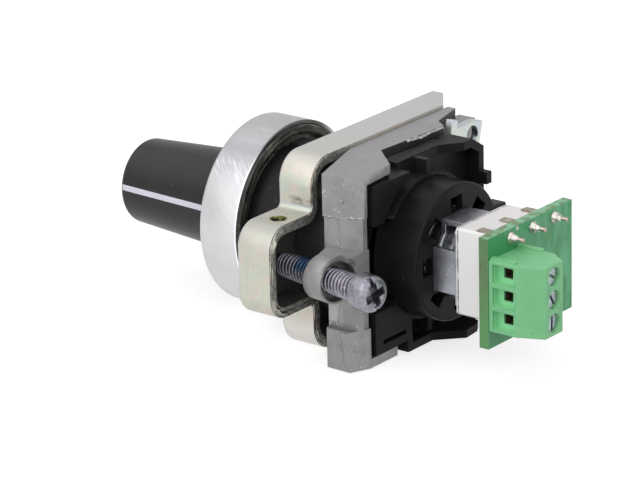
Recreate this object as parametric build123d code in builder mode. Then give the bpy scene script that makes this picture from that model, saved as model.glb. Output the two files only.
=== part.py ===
"""Panel mount potentiometer for a 22.5 mm hole, with its clamping collar and a wired circuit board.

Frame: millimetres, +Y to the rear (towards the terminals), +X towards the clamp screw, +Z up.
Origin: on the spindle's axis, in the plane of the bezel's rear rim, where the panel's front face lies.
"""
import os
from math import cos, radians, sin, sqrt, tan

from build123d import *

# Clearances that pieces share
running_gap = 0.05
seat_gap = 0.03
free_gap = 0.3
end_play = 0.1
overcut = 1.0

# Bezel, gasket and knob, in front of the panel
bezel_cover = 3.5
bezel_length = 7.1
bezel_wall = 1.7
bezel_rim_wall = 0.6
bezel_edge = 0.6
face_recess = 0.5
gasket_depth = 1.2
gasket_proud = 0.3
gasket_bead = 1.5
gasket_web_y = -0.6
knob_base_r = 8.05
knob_tip_r = 6.6
knob_tip_y = -29.4
knob_tip_round = 1.0
knob_clear = 0.4
knob_socket = 15.0
knob_wall = 1.6
knob_hub_wall = 2.2
pointer_width = 0.9
pointer_depth = 0.4
pointer_angle = 84.0

# Spindle and its seal
spindle_r = 3.0
spindle_flat = 0.6
seal_width = 1.6
seal_wall = 1.7
seal_cover = 1.3

# Head body that passes through the panel
head_r = 11.0
head_wall = 1.7
head_face = 4.2
head_guide_wall = 1.8
head_guide_length = 9.0
head_key_width = 3.2
head_key_height = 0.9
head_key_length = 4.6
neck_depth = 0.8
lug_count = 4
lug_width = 3.6
lug_length = 1.0

# Clamp plate, a drawn steel tray whose ear takes the screw's tip
plate_front_y = 8.3
plate_depth = 6.1
plate_sheet = 1.5
plate_half_height = 15.0
plate_near_x = 14.5
plate_far_x = -24.0
plate_corner = 4.2
plate_far_corner = 0.8
plate_inner_corner = 0.8
plate_bend = 0.7
ear_reach = 10.0
ear_half_height = 7.1
ear_corner = 3.6
ear_hole_r = 1.3
ear_hole_x = 19.1
ear_hole_y = 12.0
plate_cut_start = 2.1
plate_cut_length = 5.6

# Clamp screw, which leans outwards to the rear
screw_r = 2.0
screw_pitch = 0.7
screw_turns = 8
screw_tilt = 10.0
screw_boss_x = 20.0
screw_boss_y = 22.0
screw_tip_y = 10.9
screw_tip_length = 1.2
screw_tip_r = 1.4
screw_head_r = 2.75
screw_head_length = 3.0
screw_head_round = 0.9
screw_slot_width = 0.7
screw_slot_depth = 0.9
screw_cross_width = 1.3
screw_cross_span = 3.6
screw_cross_depth = 1.8
screw_recess_turn = 16.0

# Collar frame, die cast
frame_gap = 0.2
frame_top_drop = 0.5
frame_slope_x = 5.0
frame_upper_end = ((16.9, 18.4), (16.2, 21.7), (15.0, 24.5), (7.8, 23.9))
frame_lower_end = ((17.4, 19.1), (17.5, 23.3), (14.4, 24.7), (7.7, 24.7))
frame_wall = 1.4
frame_cavity_x = 14.1
frame_inner_x = 3.3
frame_inner_y = 18.9
frame_rear_x = -11.3
frame_rear_y = 19.7
frame_notch_x = -12.8
frame_notch_y = 17.6
frame_shoulder_x = -19.4
frame_shoulder_depth = 1.4
frame_far_x = -22.3
frame_far_top_z = 12.5
frame_far_bottom_z = -13.0
frame_far_depth = 3.0
frame_block_top_z = 8.2
frame_block_low_z = -8.8
frame_bar_x = 16.3
frame_bar_front_y = 18.0
frame_bar_rear_y = 24.3
frame_hub_wall = 1.8
boss_wall = 1.35
boss_front_y = 19.8
boss_length = 3.6
boss_web_rear_y = 24.6
boss_thread = 2.5
boss_pocket_r = 3.0

# Lock ring, a flat steel ring with an operating tab
lock_y = 19.0
lock_sheet = 1.2
lock_ring_width = 1.4
lock_tab_x = -15.95
lock_tab_z = 10.9
lock_tab_tilt = 15.0
lock_tab_length = 8.0
lock_tab_height = 6.4
lock_hole_r = 1.4
lock_hole_offset = -1.8
lock_hole_rise = 1.0
lock_neck_angle = 140.0
lock_neck_width = 6.0
lock_neck_reach = 16.5
lock_notch_x = 2.5
lock_notch_depth = 1.2
lock_notch_run = 4.1

# Carrier housing, moulded, which plugs into the collar frame from the rear
carrier_front_y = 20.6
carrier_floor_y = 22.6
carrier_rear_y = 25.1
carrier_wall = 1.3
carrier_near_x = 13.4
carrier_step_x = 4.4
carrier_step_z = 12.7
carrier_top_z = 13.5
carrier_far_x = -14.0
carrier_chamfer_x = 2.9
carrier_chamfer_z = 1.8
carrier_bottom_z = -15.2
carrier_bottom_chamfer = 1.8
carrier_foot_x = 5.6
carrier_low_z = -13.3
carrier_slope_x = -5.8
carrier_slope_run = 3.2
carrier_tail_x = (-0.5, -4.2, -7.3, -8.7)
carrier_tail_y = (25.1, 28.7, 28.4, 27.6)
carrier_lug_z = 6.1
carrier_lug_height = 1.9
carrier_lug_length = 1.4
carrier_window_x = 8.5
carrier_window_top = 6.6
carrier_window_low = -6.7
carrier_block_x = 4.5
carrier_groove_r = 12.8
carrier_pocket = (8.8, -11.9, 5.6, 1.0)
carrier_rib = 1.1
collar_wall = 0.65

# Drum that holds the potentiometer
drum_r = 10.45
drum_length = 7.7
drum_wall = 1.3
drum_end = 1.1
drum_edge = 0.4
drum_slot_count = 8
drum_slot_pitch_r = 7.6
drum_slot_radial = 2.3
drum_slot_across = 2.8
drum_slot_start = -2.0
drum_ear_angle = 162.0
drum_ear_width = 3.4
drum_ear_reach = 2.4
drum_ear_tip = 0.4
drum_ear_length = 2.4

# Potentiometer: bushing, nut, washer, cover, case and what turns in it
bushing_r = 4.75
bushing_length = 6.2
bushing_flange_r = 5.3
bushing_flange = 1.8
nut_across_flats = 12.7
nut_height = 2.2
washer_height = 0.5
washer_r = 6.9
washer_teeth = 12
washer_tooth = 1.0
clip_r = 4.3
clip_height = 0.6
clip_groove = 0.5
clip_mouth = 3.0
cover_half = 6.3
cover_sheet = 0.8
cover_depth = 3.9
cover_tab_width = 6.7
cover_tab_shift = -0.75
plate_stack = 0.4
rivet_r = 0.7
rivet_height = 0.7
rivet_place = 4.9
case_half = 6.45
case_bottom_z = -6.9
case_cavity_r = 5.6
case_edge = 0.3
case_depth = 6.4
case_floor = 1.0
foot_r = 0.6
foot_length = 0.9
foot_place = 5.7
foot_place_z = 5.2
rotor_r = 5.2
rotor_height = 1.4
wiper_height = 0.4
wiper_ring_r = 3.6
wiper_arm_width = 1.6
wiper_gap = 0.1
element_height = 0.6
element_r = 5.5

# Circuit board, its pins and solder
board_x = 0.42
board_half_width = 10.6
board_bottom_z = -9.0
board_top_z = 7.8
board_thickness = 1.6
pin_r = 0.3
pin_tab_width = 1.5
pin_tab_sheet = 0.6
pin_tab_depth = 0.4
pin_tab_length = 3.0
pin_pitch = 5.53
pin_centre_x = -0.2
pin_z = 6.38
pin_proud = 2.2
solder_r = 0.85
solder_top_r = 0.4
solder_height = 1.3
leg_solder_r = 0.75
leg_solder_height = 0.4

# Terminal block
pole_count = 3
pole_pitch = 3.5
block_end_wall = 0.135
block_centre_z = -0.82
block_entry_x = 10.97
block_far_x = 3.0
block_shoulder = 4.7
block_screw_face_x = 9.25
block_depth = 8.7
block_rear_far_x = 4.96
block_hip = 5.9
entry_width = 2.8
entry_start = 0.7
entry_length = 3.8
entry_depth = 1.4
inner_entry_width = 1.5
inner_entry_length = 1.6
inner_entry_middle = 2.5
cage_width = 2.5
cage_length = 3.7
cage_height = 3.6
cage_sheet = 0.35
cage_travel = 1.2
cage_lift = 1.1
cage_x = 7.0
bar_sheet = 0.4
bar_width = 0.9
bar_lift = 3.6
leg_r = 0.45
leg_proud = 0.5
term_screw_r = 0.85
term_head_r = 1.3
term_head_height = 1.1
term_recess = 0.5
term_slot_width = 0.45
term_slot_depth = 0.5
rib_height = 0.4
rib_width = 0.9
rib_places = (10.2, 3.6)
rib_length = 4.3

# Places worked out from the sizes above
bezel_r = head_r + bezel_cover
head_front_y = -bezel_length + face_recess
flange_r = bezel_r - bezel_wall - seat_gap
knob_base_y = head_front_y - knob_clear
spindle_front_y = knob_tip_y + knob_wall + knob_tip_round
neck_r = head_r - neck_depth
lug_front_y = lock_y + lock_sheet + free_gap / 2
head_rear_y = lug_front_y + lug_length
clamp_travel = screw_turns * screw_pitch
plate_side_play = clamp_travel * sin(radians(screw_tilt))
plate_rear_y = plate_front_y + plate_depth
frame_top_z = plate_half_height - frame_top_drop
frame_bottom_z = -plate_half_height
frame_front_y = plate_rear_y + frame_gap
boss_rear_y = boss_front_y + boss_length
pocket_floor_y = boss_front_y + boss_thread
screw_head_y = pocket_floor_y + clamp_travel * cos(radians(screw_tilt)) + 2 * free_gap
lock_inner_r = head_r + free_gap
lock_outer_r = lock_inner_r + lock_ring_width
lock_recess_y = lock_y - free_gap / 2
drum_rear_y = carrier_floor_y + drum_length
cover_rear_y = drum_rear_y + cover_depth
case_front_y = cover_rear_y + plate_stack
case_rear_y = case_front_y + case_depth
cavity_rear_y = case_rear_y - case_floor
wiper_rear_y = cavity_rear_y - element_height - wiper_gap
rotor_rear_y = wiper_rear_y - wiper_height
bushing_front_y = drum_rear_y + cover_sheet - bushing_length
clip_front_y = bushing_front_y - end_play - clip_height
board_front_y = case_rear_y + foot_length
board_rear_y = board_front_y + board_thickness
block_shoulder_y = board_rear_y + block_shoulder
block_hip_y = board_rear_y + block_hip
block_rear_y = board_rear_y + block_depth
entry_front_y = board_rear_y + entry_start
inner_entry_y = board_rear_y + inner_entry_middle
bar_y = board_rear_y + bar_lift
block_bottom_z = block_centre_z - pole_count * pole_pitch / 2 - block_end_wall
block_top_z = block_centre_z + pole_count * pole_pitch / 2 + block_end_wall
pole_heights = [block_centre_z + (1 - i) * pole_pitch for i in range(pole_count)]
pin_places = [pin_centre_x + (i - 1) * pin_pitch for i in range(3)]
cage_front_y = board_rear_y + cage_lift
cage_rear_y = cage_front_y + cage_height
cavity_top_y = cage_rear_y + cage_travel + free_gap
term_head_y = block_rear_y - term_recess - term_head_height
term_tip_y = bar_y + bar_sheet + free_gap / 2
leg_x = cage_x - cage_length / 2 - free_gap - leg_r

os.makedirs("parts", exist_ok=True)


def across(y):
    """Plane square to the spindle at depth y; its x is X, its y is Z, and it faces the front."""
    return Plane.XZ.offset(-y)


def save(piece, name):
    """Label a finished piece and write it."""
    piece.label = name
    export_step(piece, f"parts/{name}.step")


def pointer_plane():
    """Plane through the axis and the pointer line; its x points at the line and its y is Y."""
    turn = radians(pointer_angle)
    return Plane(origin=(0, 0, 0), x_dir=(sin(turn), 0, cos(turn)), z_dir=(-cos(turn), 0, sin(turn)))


def screw_plane(y):
    """Plane square to the leaning clamp screw where its axis is at depth y; it faces the rear."""
    tilt = radians(screw_tilt)
    x = screw_boss_x + (y - screw_boss_y) * tan(tilt)
    return Plane(origin=(x, y, 0), x_dir=(0, 0, 1), z_dir=(sin(tilt), cos(tilt), 0))


def along_screw(depth):
    """Length along the screw's axis that covers a depth along Y."""
    return depth / cos(radians(screw_tilt))


def knob_outline():
    """Half section of the knob's outside, with its rounded front edge."""
    with BuildSketch(Plane.XY) as outline:
        with BuildLine():
            Polyline(
                (0, knob_tip_y),
                (knob_tip_r, knob_tip_y),
                (knob_base_r, knob_base_y),
                (0, knob_base_y),
                close=True,
            )
        make_face()
        fillet(outline.vertices().group_by(Axis.Y)[0].sort_by(Axis.X)[-1], knob_tip_round)
    return outline.sketch


def pointer_outline():
    """Section of the pointer inlay, a strip along the front face and the side of the knob."""
    with BuildSketch(Plane.XY) as strip:
        add(knob_outline())
        with BuildLine():
            Polyline(
                (-overcut, knob_tip_y + pointer_depth),
                (knob_tip_r - pointer_depth, knob_tip_y + pointer_depth),
                (knob_base_r - pointer_depth, knob_base_y),
                (-overcut, knob_base_y),
                close=True,
            )
        make_face(mode=Mode.SUBTRACT)
    return strip.sketch


def frame_plan(near_end, gap=0.0):
    """The collar frame seen from above with one of its two near ends, grown by a gap."""
    with BuildSketch(Plane.XY) as plan:
        with BuildLine():
            Polyline(
                (frame_shoulder_x, frame_front_y),
                (frame_slope_x, frame_front_y),
                *near_end,
                (frame_inner_x, frame_inner_y),
                (frame_rear_x, frame_rear_y),
                (frame_notch_x, frame_notch_y),
                (frame_shoulder_x, frame_front_y + frame_shoulder_depth),
                close=True,
            )
        make_face()
        if gap:
            offset(amount=gap, kind=Kind.INTERSECTION)
    return plan.sketch


# Knob: a tapered moulding with a hub that grips the spindle
hub_r = spindle_r + knob_hub_wall
with BuildPart() as knob:
    with BuildSketch(Plane.XY):
        add(knob_outline())
    revolve(axis=Axis.Y)
    with BuildSketch(Plane.XY):
        with BuildLine():
            Polyline(
                (hub_r, knob_base_y),
                (knob_base_r - knob_wall, knob_base_y),
                (hub_r + free_gap, knob_base_y - knob_socket),
                (hub_r, knob_base_y - knob_socket),
                close=True,
            )
        make_face()
    revolve(axis=Axis.Y, mode=Mode.SUBTRACT)
    with BuildSketch(across(knob_base_y)):
        Circle(spindle_r + seat_gap)
        with Locations((0, -spindle_r)):
            Rectangle(2 * spindle_r, 2 * spindle_flat, mode=Mode.SUBTRACT)
    extrude(amount=knob_base_y - spindle_front_y + seat_gap, mode=Mode.SUBTRACT)
    with BuildSketch(pointer_plane()):
        add(pointer_outline())
    extrude(amount=pointer_width / 2, both=True, mode=Mode.SUBTRACT)
save(knob.part, "knob")

with BuildPart() as pointer_line:
    with BuildSketch(pointer_plane()):
        add(pointer_outline())
    extrude(amount=pointer_width / 2, both=True)
save(pointer_line.part, "pointer_line")

# Spindle: one shaft from the knob to the rotor, flat inside the knob and the rotor
with BuildPart() as spindle:
    with BuildSketch(across(rotor_rear_y)):
        Circle(spindle_r)
    extrude(amount=rotor_rear_y - spindle_front_y)
    for flat_rear_y, flat_length in (
        (knob_base_y, knob_base_y - spindle_front_y),
        (rotor_rear_y, rotor_height),
    ):
        with BuildSketch(across(flat_rear_y)):
            with Locations((0, -spindle_r)):
                Rectangle(2 * spindle_r, 2 * spindle_flat)
        extrude(amount=flat_length, mode=Mode.SUBTRACT)
    with BuildSketch(across(clip_front_y + clip_height)):
        Circle(spindle_r + overcut)
        Circle(spindle_r - clip_groove, mode=Mode.SUBTRACT)
    extrude(amount=clip_height, mode=Mode.SUBTRACT)
save(spindle.part, "spindle")

# Clip: a spring ring in the spindle's groove, open at the bottom
with BuildPart() as shaft_clip:
    with BuildSketch(across(clip_front_y + clip_height)):
        Circle(clip_r)
        Circle(spindle_r - clip_groove, mode=Mode.SUBTRACT)
        with Locations((0, -clip_r)):
            Rectangle(clip_mouth, 2 * clip_r - clip_mouth, mode=Mode.SUBTRACT)
    extrude(amount=clip_height)
save(shaft_clip.part, "shaft_clip")

# Bezel: a turned ring that covers the hole's edge
with BuildPart() as bezel_ring:
    with BuildSketch(Plane.XY) as bezel_section:
        with BuildLine():
            Polyline(
                (bezel_r - bezel_wall, -bezel_length),
                (bezel_r, -bezel_length),
                (bezel_r, 0),
                (bezel_r - bezel_rim_wall, 0),
                (bezel_r - bezel_rim_wall, -gasket_depth),
                (bezel_r - bezel_wall, -gasket_depth),
                close=True,
            )
        make_face()
        fillet(bezel_section.vertices().group_by(Axis.Y)[0].sort_by(Axis.X)[-1], bezel_edge)
    revolve(axis=Axis.Y)
save(bezel_ring.part, "bezel_ring")

# Gasket: a rubber ring with a rounded lip towards the panel
with BuildPart() as panel_gasket:
    with BuildSketch(Plane.XY) as gasket_section:
        with BuildLine():
            Polyline(
                (head_r + seat_gap, -gasket_depth),
                (bezel_r - bezel_rim_wall - seat_gap, -gasket_depth),
                (bezel_r - bezel_rim_wall - seat_gap, gasket_proud),
                (bezel_r - bezel_rim_wall - gasket_bead, gasket_proud),
                (bezel_r - bezel_rim_wall - gasket_bead, gasket_web_y),
                (head_r + seat_gap, gasket_web_y),
                close=True,
            )
        make_face()
        fillet(gasket_section.vertices().group_by(Axis.Y)[-1], gasket_bead / 3)
    revolve(axis=Axis.Y)
save(panel_gasket.part, "panel_gasket")

# Head body: a flanged barrel with a guide for the spindle, a locating key and bayonet lugs
bore_r = spindle_r + running_gap
guide_r = bore_r + head_guide_wall
head_inner_r = head_r - head_wall
seal_front_y = head_front_y + seal_cover
lug_reach = sqrt(head_r**2 - (lug_width / 2) ** 2)
with BuildPart() as head_body:
    with BuildSketch(Plane.XY):
        with BuildLine():
            Polyline(
                (bore_r, head_front_y),
                (flange_r, head_front_y),
                (flange_r, -gasket_depth),
                (head_r, -gasket_depth),
                (head_r, lock_recess_y),
                (neck_r, lock_recess_y),
                (neck_r, head_rear_y),
                (head_inner_r, head_rear_y),
                (head_inner_r, head_front_y + head_face),
                (guide_r, head_front_y + head_face),
                (guide_r, head_front_y + head_face + head_guide_length),
                (bore_r, head_front_y + head_face + head_guide_length),
                close=True,
            )
        make_face()
    revolve(axis=Axis.Y)
    with BuildSketch(across(seal_front_y + seal_width)):
        Circle(bore_r + seal_wall)
    extrude(amount=seal_width, mode=Mode.SUBTRACT)
    with BuildSketch(across(head_rear_y)):
        with PolarLocations((head_inner_r + lug_reach + seat_gap) / 2, lug_count):
            Rectangle(lug_reach - head_inner_r - seat_gap, lug_width)
    extrude(amount=lug_length)
    with BuildSketch(across(gasket_proud + end_play + head_key_length)):
        with Locations((0, head_r + head_key_height / 2 - head_wall / 4)):
            Rectangle(head_key_width, head_key_height + head_wall / 2)
    extrude(amount=head_key_length)
save(head_body.part, "head_body")

# Spindle seal: a rubber ring in its gland
with BuildPart() as spindle_seal:
    with BuildSketch(across(seal_front_y + seal_width)):
        Circle(bore_r + seal_wall)
        Circle(bore_r, mode=Mode.SUBTRACT)
    extrude(amount=seal_width)
save(spindle_seal.part, "spindle_seal")

# Clamp plate: a drawn tray, open to the rear, with an ear for the screw's tip
plate_hole_r = head_r + plate_side_play + free_gap
with BuildPart() as clamp_plate:
    with BuildSketch(across(plate_rear_y)) as tray:
        with Locations(((plate_near_x + plate_far_x) / 2, 0)):
            Rectangle(plate_near_x - plate_far_x, 2 * plate_half_height)
        with Locations((plate_near_x + ear_reach / 2, 0)):
            Rectangle(ear_reach, 2 * ear_half_height)
        fillet(tray.vertices().group_by(Axis.X)[0], plate_far_corner)
        fillet(tray.vertices().group_by(Axis.X)[-1], ear_corner)
        outer_corners = tray.vertices().filter_by(lambda v: v.X == plate_near_x)
        fillet(outer_corners.group_by(Axis.Y)[0] + outer_corners.group_by(Axis.Y)[-1], plate_corner)
        fillet(tray.vertices().filter_by(lambda v: v.X == plate_near_x).group_by(Axis.Y)[1:-1], plate_inner_corner)
    extrude(amount=plate_depth)
    fillet(clamp_plate.faces().sort_by(Axis.Y)[0].edges(), plate_bend)
    with BuildSketch(across(plate_rear_y)):
        add(tray.sketch_local)
        offset(amount=-plate_sheet)
    extrude(amount=plate_depth - plate_sheet, mode=Mode.SUBTRACT)
    with BuildSketch(across(plate_rear_y)):
        Circle(plate_hole_r)
    extrude(amount=plate_depth, mode=Mode.SUBTRACT)
    with BuildSketch(Plane.XY):
        with Locations((ear_hole_x, ear_hole_y)):
            Circle(ear_hole_r)
    extrude(amount=plate_half_height, mode=Mode.SUBTRACT)
    with BuildSketch(Plane.XY):
        with BuildLine():
            Polyline(
                (plate_far_x - overcut, plate_front_y + plate_cut_start),
                (plate_far_x, plate_front_y + plate_cut_start),
                (plate_far_x + plate_cut_length, plate_rear_y),
                (plate_far_x + plate_cut_length, plate_rear_y + overcut),
                (plate_far_x - overcut, plate_rear_y + overcut),
                close=True,
            )
        make_face()
    extrude(amount=plate_half_height + overcut, both=True, mode=Mode.SUBTRACT)
save(clamp_plate.part, "clamp_plate")

# Clamp screw: dog point, shank at the thread's outer size, round head with a slot across a cross
with BuildPart() as clamp_screw:
    shank = along_screw(screw_head_y - screw_tip_y)
    with BuildSketch(screw_plane(screw_head_y)):
        Circle(screw_r)
    extrude(amount=-(shank - screw_tip_length))
    with BuildSketch(screw_plane(screw_tip_y)):
        Circle(screw_tip_r)
    extrude(amount=screw_tip_length)
    with BuildSketch(screw_plane(screw_head_y)):
        Circle(screw_head_r)
    extrude(amount=screw_head_length)
    head_face_plane = screw_plane(screw_head_y).offset(screw_head_length)
    rim = clamp_screw.faces().sort_by(Axis.Y)[-1].edges()
    fillet(rim, screw_head_round)
    with BuildSketch(head_face_plane):
        Rectangle(2 * screw_head_r, screw_slot_width, rotation=screw_recess_turn)
    extrude(amount=-screw_slot_depth, mode=Mode.SUBTRACT)
    with BuildSketch(head_face_plane):
        Rectangle(screw_cross_span, screw_cross_width, rotation=screw_recess_turn)
        Rectangle(screw_cross_width, screw_cross_span, rotation=screw_recess_turn)
    extrude(amount=-screw_cross_depth, mode=Mode.SUBTRACT)
save(clamp_screw.part, "clamp_screw")

# Collar frame: a cast wall behind the tray, a hub for the head, and a C-shaped side round the carrier
hub_front_y = plate_front_y + plate_sheet + free_gap
boss_r = screw_r + boss_wall
cavity_top = frame_top_z - frame_wall
cavity_bottom = frame_bottom_z + frame_wall
cavity_rear_end = frame_lower_end[-1][1] + overcut
with BuildPart() as collar_frame:
    with BuildSketch(Plane.XY):
        add(frame_plan(frame_upper_end))
    extrude(amount=frame_top_z)
    with BuildSketch(Plane.XY):
        add(frame_plan(frame_lower_end))
    extrude(amount=frame_bottom_z)
    with BuildSketch(across(frame_front_y + frame_far_depth)):
        with Locations(((frame_far_x + frame_notch_x) / 2, (frame_far_top_z + frame_far_bottom_z) / 2)):
            Rectangle(frame_notch_x - frame_far_x, frame_far_top_z - frame_far_bottom_z)
    extrude(amount=frame_far_depth)
    with BuildSketch(across(lock_recess_y)):
        Circle(head_r + frame_hub_wall)
    extrude(amount=lock_recess_y - hub_front_y)
    with BuildSketch(across(cavity_rear_end)):
        with Locations(((frame_cavity_x + frame_far_x) / 2, (cavity_top + cavity_bottom) / 2)):
            Rectangle(frame_cavity_x - frame_far_x, cavity_top - cavity_bottom)
    extrude(amount=cavity_rear_end - lock_recess_y, mode=Mode.SUBTRACT)
    with BuildSketch(Plane.XY.offset(frame_block_low_z)):
        with Locations((frame_cavity_x, frame_front_y)):
            Rectangle(ear_reach, ear_reach + frame_far_depth, align=Align.MIN)
        with BuildLine():
            Polyline(
                (frame_cavity_x - overcut, frame_front_y - overcut),
                (frame_cavity_x, frame_bar_front_y - frame_bar_x + frame_cavity_x + plate_sheet),
                (frame_bar_x, frame_bar_front_y),
                (frame_bar_x, frame_bar_rear_y),
                (frame_cavity_x - overcut, frame_bar_rear_y),
                close=True,
            )
        make_face(mode=Mode.SUBTRACT)
    extrude(amount=frame_block_top_z - frame_block_low_z, mode=Mode.SUBTRACT)
    with BuildSketch(Plane.XY.offset(-boss_r)):
        with BuildLine():
            Polyline(
                (frame_cavity_x, frame_bar_front_y),
                (screw_boss_x, boss_front_y),
                (screw_boss_x, pocket_floor_y),
                (screw_boss_x - boss_pocket_r / 2, boss_web_rear_y),
                (frame_cavity_x, boss_web_rear_y),
                close=True,
            )
        make_face()
    extrude(amount=2 * boss_r)
    with BuildSketch(screw_plane(boss_rear_y)):
        Circle(boss_r)
    extrude(amount=-along_screw(boss_length))
    with BuildSketch(screw_plane(pocket_floor_y)):
        Circle(boss_pocket_r)
    extrude(amount=along_screw(boss_length), mode=Mode.SUBTRACT)
    with BuildSketch(screw_plane(pocket_floor_y)):
        Circle(screw_r + running_gap)
    extrude(amount=-along_screw(boss_length), mode=Mode.SUBTRACT)
    with BuildSketch(screw_plane(boss_front_y)):
        Circle(screw_r + free_gap)
    extrude(amount=-along_screw(boss_front_y - hub_front_y), mode=Mode.SUBTRACT)
    with BuildSketch(across(lock_recess_y)):
        Circle(head_r + free_gap / 2)
    extrude(amount=lock_recess_y - hub_front_y, mode=Mode.SUBTRACT)
    with BuildSketch(across(cavity_rear_end)):
        Circle(lock_outer_r + free_gap)
    extrude(amount=cavity_rear_end - lock_recess_y, mode=Mode.SUBTRACT)
save(collar_frame.part, "collar_frame")

# Lock ring: cams behind which the head's lugs sit, and a tab that swings in the frame's slot
with BuildPart() as lock_ring:
    with BuildSketch(across(lock_y + lock_sheet)):
        Circle(lock_outer_r)
        with PolarLocations(lock_neck_reach / 2, 1, start_angle=lock_neck_angle):
            Rectangle(lock_neck_reach, lock_neck_width)
        with Locations(Location((lock_tab_x, lock_tab_z, 0), (0, 0, lock_tab_tilt))):
            Rectangle(lock_tab_length, lock_tab_height)
            with Locations((lock_hole_offset, lock_hole_rise)):
                Circle(lock_hole_r, mode=Mode.SUBTRACT)
            Polygon(
                (lock_notch_x, lock_tab_height / 2 - lock_notch_depth),
                (lock_notch_x, lock_tab_height / 2 + overcut),
                (lock_notch_x - lock_notch_run, lock_tab_height / 2 + overcut),
                (lock_notch_x - lock_notch_run, lock_tab_height / 2),
                align=None,
                mode=Mode.SUBTRACT,
            )
        Circle(lock_inner_r, mode=Mode.SUBTRACT)
        with PolarLocations((neck_r + lock_outer_r + free_gap) / 2 - lock_ring_width / 4, lug_count):
            Rectangle(lock_outer_r - neck_r - free_gap - lock_ring_width / 2, lug_width)
    extrude(amount=lock_sheet)
save(lock_ring.part, "lock_ring")

# Carrier housing: a moulded tray behind the frame with a collar for the drum
with BuildPart() as carrier_housing:
    with BuildSketch(across(carrier_rear_y)) as carrier_outline:
        with BuildLine():
            Polyline(
                (carrier_near_x, carrier_low_z),
                (carrier_near_x, carrier_step_z),
                (carrier_step_x, carrier_step_z),
                (carrier_step_x, carrier_top_z),
                (carrier_far_x + carrier_chamfer_x, carrier_top_z),
                (carrier_far_x, carrier_top_z - carrier_chamfer_z),
                (carrier_far_x, carrier_bottom_z + carrier_bottom_chamfer),
                (carrier_far_x + carrier_bottom_chamfer, carrier_bottom_z),
                (carrier_foot_x, carrier_bottom_z),
                (carrier_foot_x, carrier_low_z),
                close=True,
            )
        make_face()
    extrude(amount=carrier_rear_y - carrier_front_y)
    with BuildSketch(across(carrier_rear_y)):
        add(carrier_outline.sketch_local)
        offset(amount=-carrier_wall)
    extrude(amount=carrier_rear_y - carrier_floor_y, mode=Mode.SUBTRACT)
    with BuildSketch(across(carrier_rear_y)):
        with Locations(((carrier_near_x + carrier_slope_x) / 2, carrier_top_z)):
            Rectangle(carrier_near_x - carrier_slope_x - 2 * carrier_wall, 4 * carrier_wall)
    extrude(amount=carrier_rear_y - carrier_floor_y, mode=Mode.SUBTRACT)
    with BuildSketch(Plane.XY.offset(carrier_top_z)):
        with BuildLine():
            Polyline(
                (carrier_slope_x + 2 * carrier_wall, carrier_floor_y),
                (carrier_slope_x, carrier_floor_y),
                (carrier_slope_x - carrier_slope_run, carrier_rear_y),
                (carrier_slope_x + 2 * carrier_wall, carrier_rear_y),
                close=True,
            )
        make_face()
    extrude(amount=-2 * carrier_wall, mode=Mode.SUBTRACT)
    pocket_x, pocket_z, pocket_width, pocket_height = carrier_pocket
    with BuildSketch(across(carrier_rear_y)):
        with Locations((carrier_block_x, carrier_window_top)):
            Rectangle(carrier_near_x - carrier_block_x, carrier_step_z - carrier_window_top, align=Align.MIN)
        Circle(carrier_groove_r, mode=Mode.SUBTRACT)
        with Locations((carrier_block_x, carrier_low_z)):
            Rectangle(carrier_near_x - carrier_block_x, carrier_window_low - carrier_low_z, align=Align.MIN)
        with Locations((pocket_x, pocket_z)):
            Rectangle(pocket_width, pocket_height, mode=Mode.SUBTRACT)
        Rectangle(carrier_rib, carrier_top_z - carrier_low_z)
        Circle(drum_r + seat_gap + collar_wall)
        Circle(drum_r + seat_gap, mode=Mode.SUBTRACT)
    extrude(amount=carrier_rear_y - carrier_floor_y)
    with BuildSketch(across(carrier_rear_y)):
        with Locations((carrier_window_x, carrier_window_low)):
            Rectangle(carrier_near_x, carrier_window_top - carrier_window_low, align=Align.MIN)
    extrude(amount=carrier_rear_y - carrier_front_y, mode=Mode.SUBTRACT)
    with BuildSketch(across(carrier_rear_y)):
        Circle(drum_r + seat_gap)
    extrude(amount=carrier_rear_y - carrier_floor_y, mode=Mode.SUBTRACT)
    with BuildSketch(Plane.XY.offset(carrier_bottom_z)):
        with BuildLine():
            Polyline(
                (carrier_foot_x, carrier_rear_y - carrier_wall),
                *zip(carrier_tail_x, carrier_tail_y),
                (carrier_tail_x[-1], carrier_rear_y - carrier_wall),
                close=True,
            )
        make_face()
    extrude(amount=carrier_wall)
    with BuildSketch(across(carrier_rear_y + carrier_lug_length)):
        with Locations((carrier_far_x, carrier_lug_z)):
            Rectangle(carrier_wall, carrier_lug_height, align=(Align.MIN, Align.MIN))
    extrude(amount=carrier_lug_length + carrier_wall)
    with BuildSketch(across(head_rear_y + free_gap / 2)):
        Circle(head_r + free_gap)
    extrude(amount=head_rear_y + free_gap / 2 - carrier_front_y, mode=Mode.SUBTRACT)
    with BuildSketch(across(carrier_floor_y)):
        Circle(drum_r - drum_wall)
    extrude(amount=carrier_floor_y - carrier_front_y, mode=Mode.SUBTRACT)
    for wall_z, wall_height, near_end in (
        (cavity_top - free_gap / 2, 2 * overcut, frame_upper_end),
        (cavity_bottom + free_gap / 2, -2 * overcut, frame_lower_end),
    ):
        with BuildSketch(Plane.XY.offset(wall_z)):
            add(frame_plan(near_end, free_gap))
        extrude(amount=wall_height, mode=Mode.SUBTRACT)
save(carrier_housing.part, "carrier_housing")

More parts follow.
